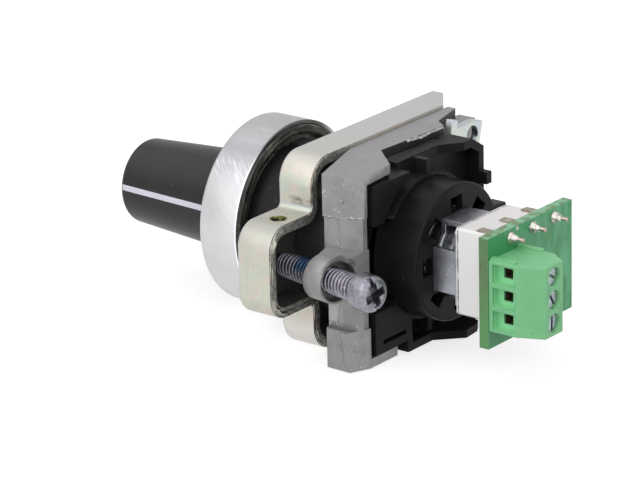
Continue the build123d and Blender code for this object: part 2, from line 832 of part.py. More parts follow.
# Drum: a cup with slots round its end wall and one ear
with BuildPart() as pot_drum:
    with BuildSketch(Plane.XY) as drum_section:
        with BuildLine():
            Polyline(
                (drum_r - drum_wall, carrier_floor_y),
                (drum_r, carrier_floor_y),
                (drum_r, drum_rear_y),
                (bushing_r + seat_gap, drum_rear_y),
                (bushing_r + seat_gap, drum_rear_y - drum_end),
                (drum_r - drum_wall, drum_rear_y - drum_end),
                close=True,
            )
        make_face()
        fillet(drum_section.vertices().group_by(Axis.Y)[-1].sort_by(Axis.X)[-1], drum_edge)
    revolve(axis=Axis.Y)
    with BuildSketch(across(drum_rear_y)):
        with PolarLocations(drum_slot_pitch_r, drum_slot_count, start_angle=drum_slot_start):
            Rectangle(drum_slot_radial, drum_slot_across)
    extrude(amount=drum_end, mode=Mode.SUBTRACT)
    with BuildSketch(across(drum_rear_y)):
        with PolarLocations(drum_r - drum_wall / 2, 1, start_angle=drum_ear_angle):
            Polygon(
                (0, -drum_ear_width / 2),
                (0, drum_ear_width / 2),
                (drum_wall / 2 + drum_ear_reach, drum_ear_tip),
                (drum_wall / 2 + drum_ear_reach, -drum_ear_tip),
                align=None,
            )
    extrude(amount=drum_ear_length)
save(pot_drum.part, "pot_drum")

# Potentiometer bushing: threaded outside, running bore inside, flange behind the cover
with BuildPart() as pot_bushing:
    with BuildSketch(Plane.XY):
        with BuildLine():
            Polyline(
                (spindle_r + running_gap, bushing_front_y),
                (bushing_r, bushing_front_y),
                (bushing_r, drum_rear_y + cover_sheet),
                (bushing_flange_r, drum_rear_y + cover_sheet),
                (bushing_flange_r, drum_rear_y + cover_sheet + bushing_flange),
                (spindle_r + running_gap, drum_rear_y + cover_sheet + bushing_flange),
                close=True,
            )
        make_face()
    revolve(axis=Axis.Y)
save(pot_bushing.part, "pot_bushing")

# Toothed washer and hexagonal nut, inside the drum
washer_rear_y = drum_rear_y - drum_end
with BuildPart() as lock_washer:
    with BuildSketch(across(washer_rear_y)):
        Circle(washer_r)
        Circle(bushing_r + seat_gap, mode=Mode.SUBTRACT)
        with PolarLocations(washer_r, washer_teeth):
            Rectangle(2 * washer_tooth, washer_tooth, mode=Mode.SUBTRACT)
    extrude(amount=washer_height)
save(lock_washer.part, "lock_washer")

with BuildPart() as pot_nut:
    with BuildSketch(across(washer_rear_y - washer_height)):
        RegularPolygon(radius=nut_across_flats / 2, side_count=6, major_radius=False)
        Circle(bushing_r + seat_gap, mode=Mode.SUBTRACT)
    extrude(amount=nut_height)
save(pot_nut.part, "pot_nut")

# Cover: a folded sheet with four tabs
with BuildPart() as pot_cover:
    with BuildSketch(across(drum_rear_y + cover_sheet)):
        Circle(cover_half - cover_sheet / 2)
        for quarter in range(4):
            with Locations(Location((0, 0, 0), (0, 0, 90 * quarter))):
                with Locations((0, cover_tab_shift)):
                    Rectangle(cover_half, cover_tab_width, align=(Align.MIN, Align.CENTER))
        Circle(bushing_r + seat_gap, mode=Mode.SUBTRACT)
    extrude(amount=cover_sheet)
    with BuildSketch(across(cover_rear_y)):
        for quarter in range(4):
            with Locations(Location((0, 0, 0), (0, 0, 90 * quarter))):
                with Locations((cover_half, cover_tab_shift)):
                    Rectangle(cover_sheet, cover_tab_width, align=(Align.MAX, Align.CENTER))
    extrude(amount=cover_depth)
save(pot_cover.part, "pot_cover")

# End plate between cover and case, with its rivets
with BuildPart() as pot_end_plate:
    with BuildSketch(across(case_front_y)) as end_face:
        Rectangle(2 * cover_half, 2 * cover_half)
        chamfer(end_face.vertices(), cover_sheet)
        Circle(spindle_r + free_gap, mode=Mode.SUBTRACT)
        with GridLocations(2 * rivet_place, 2 * rivet_place, 2, 2):
            Circle(rivet_r, mode=Mode.SUBTRACT)
    extrude(amount=plate_stack)
save(pot_end_plate.part, "pot_end_plate")

with BuildPart() as pot_rivets:
    with BuildSketch(across(case_front_y)):
        with GridLocations(2 * rivet_place, 2 * rivet_place, 2, 2):
            Circle(rivet_r)
    extrude(amount=plate_stack + rivet_height)
    fillet(pot_rivets.edges().group_by(Axis.Y)[0], rivet_r / 2)
save(pot_rivets.part, "pot_rivets")

# Case: a moulded box, open to the end plate, on four feet
with BuildPart() as pot_case:
    with BuildSketch(across(case_rear_y)) as case_face:
        with Locations((0, case_bottom_z)):
            Rectangle(2 * case_half, case_half - case_bottom_z, align=(Align.CENTER, Align.MIN))
        chamfer(case_face.vertices(), case_edge)
    extrude(amount=case_depth)
    with BuildSketch(across(cavity_rear_y)):
        Circle(case_cavity_r)
    extrude(amount=cavity_rear_y - case_front_y, mode=Mode.SUBTRACT)
    with BuildSketch(across(board_front_y)):
        with GridLocations(2 * foot_place, 2 * foot_place_z, 2, 2):
            Circle(foot_r)
    extrude(amount=board_front_y - case_rear_y)
    with BuildSketch(across(case_rear_y)):
        with Locations(*[(x, case_half) for x in pin_places]):
            Rectangle(pin_tab_width + 2 * seat_gap, 2 * pin_tab_depth + 2 * seat_gap)
    extrude(amount=pin_tab_length + seat_gap, mode=Mode.SUBTRACT)
save(pot_case.part, "pot_case")

# Rotor, wiper and resistive element
with BuildPart() as rotor:
    with BuildSketch(across(rotor_rear_y)):
        Circle(rotor_r)
        Circle(spindle_r + seat_gap, mode=Mode.SUBTRACT)
        with Locations((0, -spindle_r)):
            Rectangle(spindle_r, 2 * spindle_flat)
    extrude(amount=rotor_height)
save(rotor.part, "rotor")

with BuildPart() as wiper:
    with BuildSketch(across(wiper_rear_y)):
        Circle(wiper_ring_r)
        with Locations((0, rotor_r / 2)):
            Rectangle(wiper_arm_width, rotor_r)
    extrude(amount=wiper_height)
save(wiper.part, "wiper")

with BuildPart() as resistive_element:
    with BuildSketch(across(cavity_rear_y)):
        Circle(element_r)
    extrude(amount=element_height)
save(resistive_element.part, "resistive_element")

# Pins of the potentiometer, straight through the board
with BuildPart() as pot_pins:
    with BuildSketch(across(board_rear_y + pin_proud)):
        with Locations(*[(x, pin_z) for x in pin_places]):
            Circle(pin_r)
    extrude(amount=board_rear_y + pin_proud - case_rear_y)
    with BuildSketch(across(case_rear_y)):
        with Locations(*[(x, case_half - pin_tab_depth) for x in pin_places]):
            Rectangle(pin_tab_width, pin_tab_sheet, align=(Align.CENTER, Align.MIN))
    extrude(amount=pin_tab_length)
save(pot_pins.part, "pot_pins")

# Circuit board with holes for the pins and for the terminal legs
leg_places = [(leg_x, z) for z in pole_heights]
with BuildPart() as circuit_board:
    with BuildSketch(across(board_rear_y)):
        with Locations((board_x, (board_top_z + board_bottom_z) / 2)):
            Rectangle(2 * board_half_width, board_top_z - board_bottom_z)
        with Locations(*[(x, pin_z) for x in pin_places]):
            Circle(pin_r + seat_gap, mode=Mode.SUBTRACT)
        with Locations(*leg_places):
            Circle(leg_r + seat_gap, mode=Mode.SUBTRACT)
    extrude(amount=board_thickness)
save(circuit_board.part, "circuit_board")

# Solder: a cone round each pin behind the board and round each terminal leg in front of it
with BuildPart() as solder_joints:
    for x in pin_places:
        with Locations(Location((x, board_rear_y, pin_z), (-90, 0, 0))):
            Cone(solder_r, solder_top_r, solder_height, align=(Align.CENTER, Align.CENTER, Align.MIN))
            Cylinder(pin_r + seat_gap, 2 * solder_height, mode=Mode.SUBTRACT)
    for z in pole_heights:
        with Locations(Location((leg_x, board_front_y, z), (90, 0, 0))):
            Cone(leg_solder_r, leg_r + end_play, leg_solder_height, align=(Align.CENTER, Align.CENTER, Align.MIN))
            Cylinder(leg_r + seat_gap, 2 * leg_solder_height, mode=Mode.SUBTRACT)
save(solder_joints.part, "solder_joints")

# Terminal block: one moulding with an entry, a cage well and a screw well for each pole
well_x = cage_x - cage_length / 2 - free_gap - 2 * leg_r - free_gap
well_near_x = cage_x + cage_length / 2 + free_gap
with BuildPart() as terminal_block:
    with BuildSketch(Plane.XY.offset(block_bottom_z)):
        with BuildLine():
            Polyline(
                (block_far_x, board_rear_y),
                (block_entry_x, board_rear_y),
                (block_entry_x, block_shoulder_y),
                (block_screw_face_x, block_rear_y),
                (block_rear_far_x, block_rear_y),
                (block_far_x, block_hip_y),
                close=True,
            )
        make_face()
    extrude(amount=block_top_z - block_bottom_z)
    with BuildSketch(across(cavity_top_y)):
        for pole_z in pole_heights:
            with Locations(((well_x + well_near_x) / 2, pole_z)):
                Rectangle(well_near_x - well_x, cage_width + 2 * free_gap)
    extrude(amount=cavity_top_y - board_rear_y, mode=Mode.SUBTRACT)
    with BuildSketch(Plane.YZ.offset(block_entry_x)):
        for pole_z in pole_heights:
            with Locations((entry_front_y + entry_length / 2, pole_z)):
                Rectangle(entry_length, entry_width)
    extrude(amount=-entry_depth, mode=Mode.SUBTRACT)
    with BuildSketch(Plane.YZ.offset(block_entry_x)):
        for pole_z in pole_heights:
            with Locations((inner_entry_y, pole_z)):
                Rectangle(inner_entry_length, inner_entry_width)
    extrude(amount=-(block_entry_x - well_near_x), mode=Mode.SUBTRACT)
    with BuildSketch(across(block_rear_y)):
        with Locations(*[(cage_x, z) for z in pole_heights]):
            Circle(term_head_r + end_play)
    extrude(amount=block_rear_y - term_head_y + free_gap / 2, mode=Mode.SUBTRACT)
    with BuildSketch(across(block_rear_y)):
        with Locations(*[(cage_x, z) for z in pole_heights]):
            Circle(term_screw_r + running_gap)
    extrude(amount=block_rear_y - cavity_top_y, mode=Mode.SUBTRACT)
    with BuildSketch(Plane.XY.offset(block_top_z)):
        for rib_x in rib_places:
            with Locations((rib_x, board_rear_y)):
                Rectangle(rib_width, rib_length, align=(Align.CENTER, Align.MIN))
    extrude(amount=rib_height)
save(terminal_block.part, "terminal_block")

# Contact bars: a strip through each cage and a round leg to the board
with BuildPart() as contact_bars:
    with BuildSketch(across(bar_y + bar_sheet)):
        for pole_z in pole_heights:
            with Locations((leg_x - leg_r, pole_z)):
                Rectangle(well_near_x - leg_x + leg_r - free_gap, bar_width, align=(Align.MIN, Align.CENTER))
    extrude(amount=bar_sheet)
    with BuildSketch(across(bar_y)):
        with Locations(*leg_places):
            Circle(leg_r)
    extrude(amount=bar_y - board_front_y + leg_proud)
save(contact_bars.part, "contact_bars")

# Cages and screws, one of each for every pole
for number, pole_z in enumerate(pole_heights, start=1):
    with BuildPart() as terminal_cage:
        with BuildSketch(across(cage_rear_y)):
            with Locations((cage_x, pole_z)):
                Rectangle(cage_length, cage_width)
        extrude(amount=cage_height)
        with BuildSketch(Plane.YZ.offset(cage_x - cage_length / 2)):
            with Locations(((cage_front_y + cage_rear_y) / 2, pole_z)):
                Rectangle(cage_height - 2 * cage_sheet, cage_width - 2 * cage_sheet)
        extrude(amount=cage_length, mode=Mode.SUBTRACT)
        with BuildSketch(across(cage_rear_y)):
            with Locations((cage_x, pole_z)):
                Circle(term_screw_r + running_gap)
        extrude(amount=cage_sheet, mode=Mode.SUBTRACT)
    save(terminal_cage.part, f"terminal_cage_{number}")

    with BuildPart() as terminal_screw:
        with BuildSketch(across(term_head_y)):
            with Locations((cage_x, pole_z)):
                Circle(term_screw_r)
        extrude(amount=term_head_y - term_tip_y)
        with BuildSketch(across(term_head_y + term_head_height)):
            with Locations((cage_x, pole_z)):
                Circle(term_head_r)
        extrude(amount=term_head_height)
        with BuildSketch(across(term_head_y + term_head_height)):
            with Locations((cage_x, pole_z)):
                Rectangle(2 * term_head_r, term_slot_width, rotation=30 * number)
        extrude(amount=term_slot_depth, mode=Mode.SUBTRACT)
    save(terminal_screw.part, f"terminal_screw_{number}")
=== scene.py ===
import logging
import math
import random
from dataclasses import dataclass
from enum import Enum
from typing import Callable, ClassVar, Iterable, Sequence

import bmesh
import bpy
from mathutils import Matrix, Vector, noise
from mathutils.bvhtree import BVHTree


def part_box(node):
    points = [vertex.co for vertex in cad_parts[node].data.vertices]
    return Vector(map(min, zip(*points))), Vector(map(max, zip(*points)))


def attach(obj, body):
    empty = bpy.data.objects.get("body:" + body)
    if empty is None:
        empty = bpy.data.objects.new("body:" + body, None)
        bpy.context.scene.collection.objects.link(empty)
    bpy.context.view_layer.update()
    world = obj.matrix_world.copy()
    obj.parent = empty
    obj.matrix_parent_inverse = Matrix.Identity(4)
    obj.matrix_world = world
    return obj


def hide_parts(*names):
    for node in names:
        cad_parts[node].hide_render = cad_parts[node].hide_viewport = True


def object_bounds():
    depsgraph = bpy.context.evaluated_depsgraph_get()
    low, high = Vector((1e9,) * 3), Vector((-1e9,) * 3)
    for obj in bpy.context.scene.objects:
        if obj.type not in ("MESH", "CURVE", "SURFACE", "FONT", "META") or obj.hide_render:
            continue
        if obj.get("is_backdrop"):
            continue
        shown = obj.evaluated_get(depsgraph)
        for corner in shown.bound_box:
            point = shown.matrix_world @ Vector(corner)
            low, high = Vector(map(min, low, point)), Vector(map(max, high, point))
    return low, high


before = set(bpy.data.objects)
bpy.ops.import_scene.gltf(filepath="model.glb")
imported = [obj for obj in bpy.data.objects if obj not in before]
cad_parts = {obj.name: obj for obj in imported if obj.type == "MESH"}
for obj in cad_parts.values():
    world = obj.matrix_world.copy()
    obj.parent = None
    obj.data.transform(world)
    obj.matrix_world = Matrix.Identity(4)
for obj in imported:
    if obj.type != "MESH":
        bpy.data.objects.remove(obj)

LOG = logging.getLogger("panel_potentiometer")
MM = 0.001
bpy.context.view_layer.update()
POLES = (1, 2, 3)

Colour = tuple[float, float, float]
Point = tuple[float, float, float]
Span = tuple[float, float]
Socket = bpy.types.NodeSocket
Ring = list[bmesh.types.BMVert]
EVEN: Point = (1.0, 1.0, 1.0)


class Body(Enum):
    """The rigid bodies of the frame that the added pieces ride on."""

    BASE = "base"
    CLAMP = "clamp"
    CLAMP_SCREW = "clamp_screw"


class Brushing(Enum):
    """Which way the fine lines of a worked metal surface run."""

    NONE = EVEN
    ALONG_X = (0.04, 1.0, 1.0)
    ALONG_Y = (1.0, 0.04, 1.0)
    ALONG_Z = (1.0, 1.0, 0.04)
    AROUND_Y = (0.03, 1.0, 1.0)


class Tree:
    """Adds nodes to one node tree and links them."""

    def __init__(self, tree: bpy.types.NodeTree) -> None:
        """Starts work on a tree.

        Args:
            tree: the node tree of a material, a world or a node group.
        """
        self.tree = tree

    def node(self, kind: str, **settings: object) -> bpy.types.Node:
        """Adds a node.

        Args:
            kind: the node's type name.
            settings: properties to set on it.

        Returns:
            The new node.
        """
        made = self.tree.nodes.new(kind)
        for name, value in settings.items():
            setattr(made, name, value)
        return made

    def feed(self, socket: Socket, value: object) -> None:
        """Links a socket into an input, or sets the input to a plain value.

        Args:
            socket: the input.
            value: an output socket, a number, or a tuple of numbers.
        """
        if isinstance(value, bpy.types.NodeSocket):
            self.tree.links.new(value, socket)
        elif isinstance(value, tuple) and socket.type == "RGBA":
            socket.default_value = (*value, 1.0)
        else:
            socket.default_value = value

    def math(self, operation: str, first: object, second: object = 0.0, clamp: bool = False) -> Socket:
        """Works out one sum of two values.

        Args:
            operation: the Math node's operation.
            first: socket or number.
            second: socket or number.
            clamp: whether the result is kept between 0 and 1.

        Returns:
            The result's socket.
        """
        made = self.node("ShaderNodeMath", operation=operation, use_clamp=clamp)
        self.feed(made.inputs[0], first)
        self.feed(made.inputs[1], second)
        return made.outputs[0]

    def product(self, first: object, *others: object) -> object:
        """Multiplies any number of values.

        Args:
            first: socket or number.
            others: sockets or numbers.

        Returns:
            The product's socket.
        """
        for other in others:
            first = self.math("MULTIPLY", first, other)
        return first

    def away(self, value: Socket, centre: float) -> Socket:
        """Measures how far a value is from a centre, on either side.

        Args:
            value: the value's socket.
            centre: the centre.

        Returns:
            The distance's socket.
        """
        return self.math("ABSOLUTE", self.math("SUBTRACT", value, centre))

    def length(self, across: Socket, along: Socket) -> Socket:
        """Measures the slant of two sides at right angles.

        Args:
            across: one side.
            along: the other side.

        Returns:
            The slant's socket.
        """
        squares = (self.product(side, side) for side in (across, along))
        return self.math("SQRT", self.math("ADD", *squares))

    def mix(self, share: object, first: object, second: object) -> Socket:
        """Blends two colours.

        Args:
            share: how much of the second colour shows, 0 to 1.
            first: socket or colour.
            second: socket or colour.

        Returns:
            The blended colour's socket.
        """
        made = self.node("ShaderNodeMix", data_type="RGBA")
        for place, value in ((0, share), (6, first), (7, second)):
            self.feed(made.inputs[place], value)
        return made.outputs[2]

    def ramp(
        self, value: object, low: float, high: float, to_low: float = 0.0, to_high: float = 1.0
    ) -> Socket:
        """Maps a value from one range to another, kept inside it.

        Args:
            value: socket to map.
            low: input that gives to_low.
            high: input that gives to_high.
            to_low: first end of the result.
            to_high: second end of the result.

        Returns:
            The mapped value's socket.
        """
        made = self.node("ShaderNodeMapRange")
        names = ("Value", "From Min", "From Max", "To Min", "To Max")
        for name, number in zip(names, (value, low, high, to_low, to_high)):
            self.feed(made.inputs[name], number)
        return made.outputs["Result"]

    def stretched(self, vector: Socket, scale: Point) -> Socket:
        """Multiplies a vector part by part.

        Args:
            vector: the vector's socket.
            scale: three numbers.

        Returns:
            The scaled vector's socket.
        """
        made = self.node("ShaderNodeVectorMath", operation="MULTIPLY")
        self.feed(made.inputs[0], vector)
        self.feed(made.inputs[1], scale)
        return made.outputs[0]

    def turned(self, vector: Socket, axis: Point, angle: float) -> Socket:
        """Turns a vector about an axis through the origin.

        Args:
            vector: the vector's socket.
            axis: the axis.
            angle: the angle in radians.

        Returns:
            The turned vector's socket.
        """
        made = self.node("ShaderNodeVectorRotate", rotation_type="AXIS_ANGLE")
        for name, value in (("Vector", vector), ("Axis", axis), ("Angle", angle)):
            self.feed(made.inputs[name], value)
        return made.outputs[0]

    def noise(self, place: Socket, detail: float, rough: float = 0.5, scale: float = 1.0) -> bpy.types.Node:
        """Adds a noise.

        Args:
            place: where it is read.
            detail: number of finer layers.
            rough: weight of the finer layers.
            scale: how many features lie in one unit.

        Returns:
            The noise's node, whose first output is about 0.2 to 0.8.
        """
        made = self.node("ShaderNodeTexNoise")
        for name, value in (("Vector", place), ("Scale", scale), ("Detail", detail), ("Roughness", rough)):
            self.feed(made.inputs[name], value)
        return made

    def parts(self, vector: Socket) -> tuple[Socket, Socket, Socket]:
        """Splits a vector.

        Args:
            vector: the vector's socket.

        Returns:
            Its x, y and z sockets.
        """
        made = self.node("ShaderNodeSeparateXYZ")
        self.feed(made.inputs[0], vector)
        return made.outputs[0], made.outputs[1], made.outputs[2]


class Effects:
    """The shader node groups that the finishes share, each built once."""

    handling_axis: Point = (0.75, 0.5, 0.43)
    handling_angles: Span = (0.6, -1.1)

    def __init__(self) -> None:
        """Builds every group."""
        self.patches = self._group("patches", {"Size": 4.0, "Contrast": 2.0}, ("Mask",), self._patches)
        self.grain = self._group("grain", {"Size": 0.15}, ("Height", "Mask"), self._grain)
        self.lines = self._group("brushed_lines", {"Pitch": 0.1}, ("Height", "Mask"), self._lines)
        self.specks = self._group("specks", {"Size": 0.6, "Share": 0.1}, ("Mask",), self._specks)
        usual = {"Spacing": 3.0, "Width": 0.006}
        self.scratches = self._group("scratches", usual, ("Mask",), self._scratches)
        self.around = self._group("around_spindle", {"Radius": 10.0}, ("Place",), self._around)

    @staticmethod
    def _group(
        name: str,
        numbers: dict[str, float],
        results: Sequence[str],
        fill: Callable[[Tree, bpy.types.Node, bpy.types.Node], None],
    ) -> bpy.types.NodeTree:
        """Makes one group with a place input, number inputs and named outputs.

        Args:
            name: the group's name.
            numbers: number inputs with their usual values.
            results: names of the outputs.
            fill: adds the group's own nodes.

        Returns:
            The finished group.
        """
        group = bpy.data.node_groups.new(name, "ShaderNodeTree")
        group.interface.new_socket(name="Place", in_out="INPUT", socket_type="NodeSocketVector")
        for label, usual in numbers.items():
            socket = group.interface.new_socket(name=label, in_out="INPUT", socket_type="NodeSocketFloat")
            socket.default_value = usual
        for label in results:
            kind = "NodeSocketVector" if label == "Place" else "NodeSocketFloat"
            group.interface.new_socket(name=label, in_out="OUTPUT", socket_type=kind)
        tree = Tree(group)
        fill(tree, tree.node("NodeGroupInput"), tree.node("NodeGroupOutput"))
        return group

    @staticmethod
    def _scaled(tree: Tree, start: bpy.types.Node, size: str) -> Socket:
        """Divides the place by a size, so that one unit is one feature.

        Args:
            tree: the group's tree.
            start: the group's input node.
            size: name of the size input.

        Returns:
            The scaled place.
        """
        made = tree.node("ShaderNodeVectorMath", operation="SCALE")
        tree.feed(made.inputs[0], start.outputs["Place"])
        tree.feed(made.inputs["Scale"], tree.math("DIVIDE", 1.0, start.outputs[size]))
        return made.outputs[0]

    @classmethod
    def _patches(cls, tree: Tree, start: bpy.types.Node, end: bpy.types.Node) -> None:
        """Slow cloudy variation of colour."""
        cloud = tree.noise(cls._scaled(tree, start, "Size"), 3.0).outputs[0]
        spread = tree.product(tree.math("SUBTRACT", cloud, 0.5), start.outputs["Contrast"])
        tree.feed(end.inputs["Mask"], tree.math("ADD", spread, 0.5, clamp=True))

    @classmethod
    def _grain(cls, tree: Tree, start: bpy.types.Node, end: bpy.types.Node) -> None:
        """Fine even roughness of a moulded, cast or plated skin."""
        fine = tree.noise(cls._scaled(tree, start, "Size"), 5.0, 0.6).outputs[0]
        tree.feed(end.inputs["Height"], fine)
        tree.feed(end.inputs["Mask"], tree.ramp(fine, 0.35, 0.65))

    @classmethod
    def _lines(cls, tree: Tree, start: bpy.types.Node, end: bpy.types.Node) -> None:
        """Streaks of a brushed or turned metal; the place is already stretched along them."""
        line = tree.noise(cls._scaled(tree, start, "Pitch"), 3.0, 0.7).outputs[0]
        tree.feed(end.inputs["Height"], line)
        tree.feed(end.inputs["Mask"], tree.ramp(line, 0.3, 0.7))

    @classmethod
    def _specks(cls, tree: Tree, start: bpy.types.Node, end: bpy.types.Node) -> None:
        """Scattered small ragged spots, of which only a share of the cells has one."""
        scaled = cls._scaled(tree, start, "Size")
        shifted = tree.node("ShaderNodeVectorMath", operation="ADD")
        tree.feed(shifted.inputs[0], scaled)
        tree.feed(shifted.inputs[1], tree.noise(scaled, 3.0, 0.6, 2.5).outputs["Color"])
        cells = tree.node("ShaderNodeTexVoronoi", feature="F1")
        tree.feed(cells.inputs["Vector"], shifted.outputs[0])
        tree.feed(cells.inputs["Scale"], 1.0)
        chosen, _, _ = tree.parts(cells.outputs["Color"])
        spot = tree.ramp(cells.outputs["Distance"], 0.18, 0.32, 1.0, 0.0)
        wanted = tree.math("LESS_THAN", chosen, start.outputs["Share"])
        tree.feed(end.inputs["Mask"], tree.product(spot, wanted))

    @classmethod
    def _scratches(cls, tree: Tree, start: bpy.types.Node, end: bpy.types.Node) -> None:
        """Fine, nearly straight marks from handling, in two directions."""
        scaled = cls._scaled(tree, start, "Spacing")
        marks = []
        for angle in cls.handling_angles:
            laid = tree.turned(scaled, cls.handling_axis, angle)
            level = tree.noise(tree.stretched(laid, (0.14, 1.6, 1.6)), 0.0).outputs[0]
            marks.append(tree.math("LESS_THAN", tree.away(level, 0.5), start.outputs["Width"]))
        broken = tree.noise(tree.stretched(scaled, (1.7, 1.3, 1.5)), 2.0).outputs[0]
        both = tree.math("MAXIMUM", *marks)
        tree.feed(end.inputs["Mask"], tree.product(both, tree.ramp(broken, 0.53, 0.62)))

    @classmethod
    def _around(cls, tree: Tree, start: bpy.types.Node, end: bpy.types.Node) -> None:
        """Rolls the place off a cylinder about the spindle's axis: way round, way along, radius."""
        x, y, z = tree.parts(start.outputs["Place"])
        rolled = tree.node("ShaderNodeCombineXYZ")
        round_it = tree.product(tree.math("ARCTAN2", z, x), start.outputs["Radius"])
        for place, value in enumerate((round_it, y, tree.length(x, z))):
            tree.feed(rolled.inputs[place], value)
        tree.feed(end.inputs["Place"], rolled.outputs[0])


class Surface:
    """A surface under work: each point's place and direction, and its colour and bump height so far."""

    def __init__(self, tree: Tree, effects: Effects) -> None:
        """Reads the place, in millimetres, and the direction.

        Args:
            tree: the material's tree.
            effects: the shared node groups.
        """
        where = tree.node("ShaderNodeTexCoord")
        self.tree = tree
        self.effects = effects
        self.place = tree.stretched(where.outputs["Object"], (1 / MM, 1 / MM, 1 / MM))
        self.x, self.y, self.z = tree.parts(self.place)
        _, self.facing, self.upward = tree.parts(where.outputs["Normal"])
        self.colour: object = EVEN
        self.height: object = 0.0

    def use(self, group: bpy.types.NodeTree, place: Socket | None = None, **numbers: float) -> bpy.types.Node:
        """Places a shared group in the material.

        Args:
            group: the shared group.
            place: where the effect is read; the surface's own place if left out.
            numbers: values for its number inputs.

        Returns:
            The group's node.
        """
        made = self.tree.node("ShaderNodeGroup", node_tree=group)
        self.tree.feed(made.inputs["Place"], self.place if place is None else place)
        for name, value in numbers.items():
            made.inputs[name].default_value = value
        return made

    def patches(self, size: float, contrast: float, stretch: Point = EVEN) -> Socket:
        """Reads slow cloudy patches.

        Args:
            size: their size in millimetres.
            contrast: how sharply they end.
            stretch: scale of the place along x, y and z.

        Returns:
            The mask, 0 to 1.
        """
        laid = self.tree.stretched(self.place, stretch)
        return self.use(self.effects.patches, laid, Size=size, Contrast=contrast).outputs["Mask"]

    def lines(self, pitch: float, stretch: Point, place: Socket | None = None) -> bpy.types.Node:
        """Reads streaks.

        Args:
            pitch: their pitch in millimetres.
            stretch: scale of the place along x, y and z.
            place: where they are read; the surface's own place if left out.

        Returns:
            The group's node, with Height and Mask.
        """
        laid = self.tree.stretched(self.place if place is None else place, stretch)
        return self.use(self.effects.lines, laid, Pitch=pitch)

    def specks(self, size: float, share: float) -> Socket:
        """Reads scattered spots.

        Args:
            size: their spacing in millimetres.
            share: how many of the cells have one.

        Returns:
            The mask, 0 to 1.
        """
        return self.use(self.effects.specks, Size=size, Share=share).outputs["Mask"]

    def rolled(self, radius: float) -> Socket:
        """Rolls the place off a cylinder about the spindle.

        Args:
            radius: the cylinder's radius in millimetres.

        Returns:
            The rolled place.
        """
        return self.use(self.effects.around, Radius=radius).outputs["Place"]

    def paint(self, share: object, colour: object) -> None:
        """Lays a colour over what is there.

        Args:
            share: how much of it shows, 0 to 1.
            colour: socket or colour.
        """
        self.colour = self.tree.mix(share, self.colour, colour)

    def emboss(self, relief: Socket, depth: float) -> None:
        """Adds to the bump height.

        Args:
            relief: the relief's socket.
            depth: its height in millimetres.
        """
        self.height = self.tree.math("ADD", self.height, self.tree.product(relief, depth))


@dataclass(frozen=True)
class Finish:
    """One surface finish. Sizes are in millimetres.

    The colour drifts slowly to the shade in patches, the roughness follows the fine grain, and
    grain and brushing stand in the bump.
    """

    name: str
    colour: Colour
    shade: Colour
    metallic: float = 0.0
    roughness: float = 0.45
    roughness_spread: float = 0.08
    specular: float = 0.5
    subsurface: float = 0.0
    patch_size: float = 4.0
    patch_contrast: float = 2.0
    grain_size: float = 0.15
    grain_height: float = 0.004
    brushing: Brushing = Brushing.NONE
    brush_pitch: float = 0.12
    brush_height: float = 0.003
    speck_colour: Colour = (0.5, 0.5, 0.5)
    speck_size: float = 0.6
    speck_share: float = 0.0
    scratch_colour: Colour = (0.5, 0.5, 0.5)
    scratch_spacing: float = 0.0

    def material(self, effects: Effects) -> bpy.types.Material:
        """Builds the material.

        Args:
            effects: the shared node groups.

        Returns:
            The finished material.
        """
        made = bpy.data.materials.new(self.name)
        made.use_nodes = True
        made.node_tree.nodes.clear()
        tree = Tree(made.node_tree)
        shader = tree.node("ShaderNodeBsdfPrincipled")
        tree.feed(tree.node("ShaderNodeOutputMaterial").inputs["Surface"], shader.outputs[0])
        skin = Surface(tree, effects)
        skin.colour = tree.mix(skin.patches(self.patch_size, self.patch_contrast), self.colour, self.shade)
        grain = skin.use(effects.grain, Size=self.grain_size)
        skin.emboss(grain.outputs["Height"], self.grain_height)
        smoothest = self.roughness - self.roughness_spread
        rough = tree.ramp(grain.outputs["Mask"], 0.0, 1.0, smoothest, self.roughness + self.roughness_spread)
        if self.brushing is not Brushing.NONE:
            place = skin.rolled(10.0) if self.brushing is Brushing.AROUND_Y else skin.place
            lines = skin.lines(self.brush_pitch, self.brushing.value, place)
            skin.emboss(lines.outputs["Height"], self.brush_height)
            rough = tree.math("ADD", rough, tree.product(lines.outputs["Mask"], self.roughness_spread))
        if self.speck_share:
            skin.paint(skin.specks(self.speck_size, self.speck_share), self.speck_colour)
        if self.scratch_spacing:
            scratches = skin.use(effects.scratches, Spacing=self.scratch_spacing)
            skin.paint(scratches.outputs["Mask"], self.scratch_colour)
        self.accent(skin)
        bump = tree.node("ShaderNodeBump")
        bump.inputs["Strength"].default_value = 1.0
        bump.inputs["Distance"].default_value = MM
        tree.feed(bump.inputs["Height"], skin.height)
        for name, value in (
            ("Base Color", skin.colour),
            ("Roughness", rough),
            ("Normal", bump.outputs[0]),
            ("Metallic", self.metallic),
            ("Specular IOR Level", self.specular),
            ("Subsurface Weight", self.subsurface),
        ):
            tree.feed(shader.inputs[name], value)
        made.diffuse_color = (*self.colour, 1.0)
        return made

    def accent(self, skin: Surface) -> None:
        """Adds what only this finish has; the plain finish adds nothing.

        Args:
            skin: the surface under work.
        """


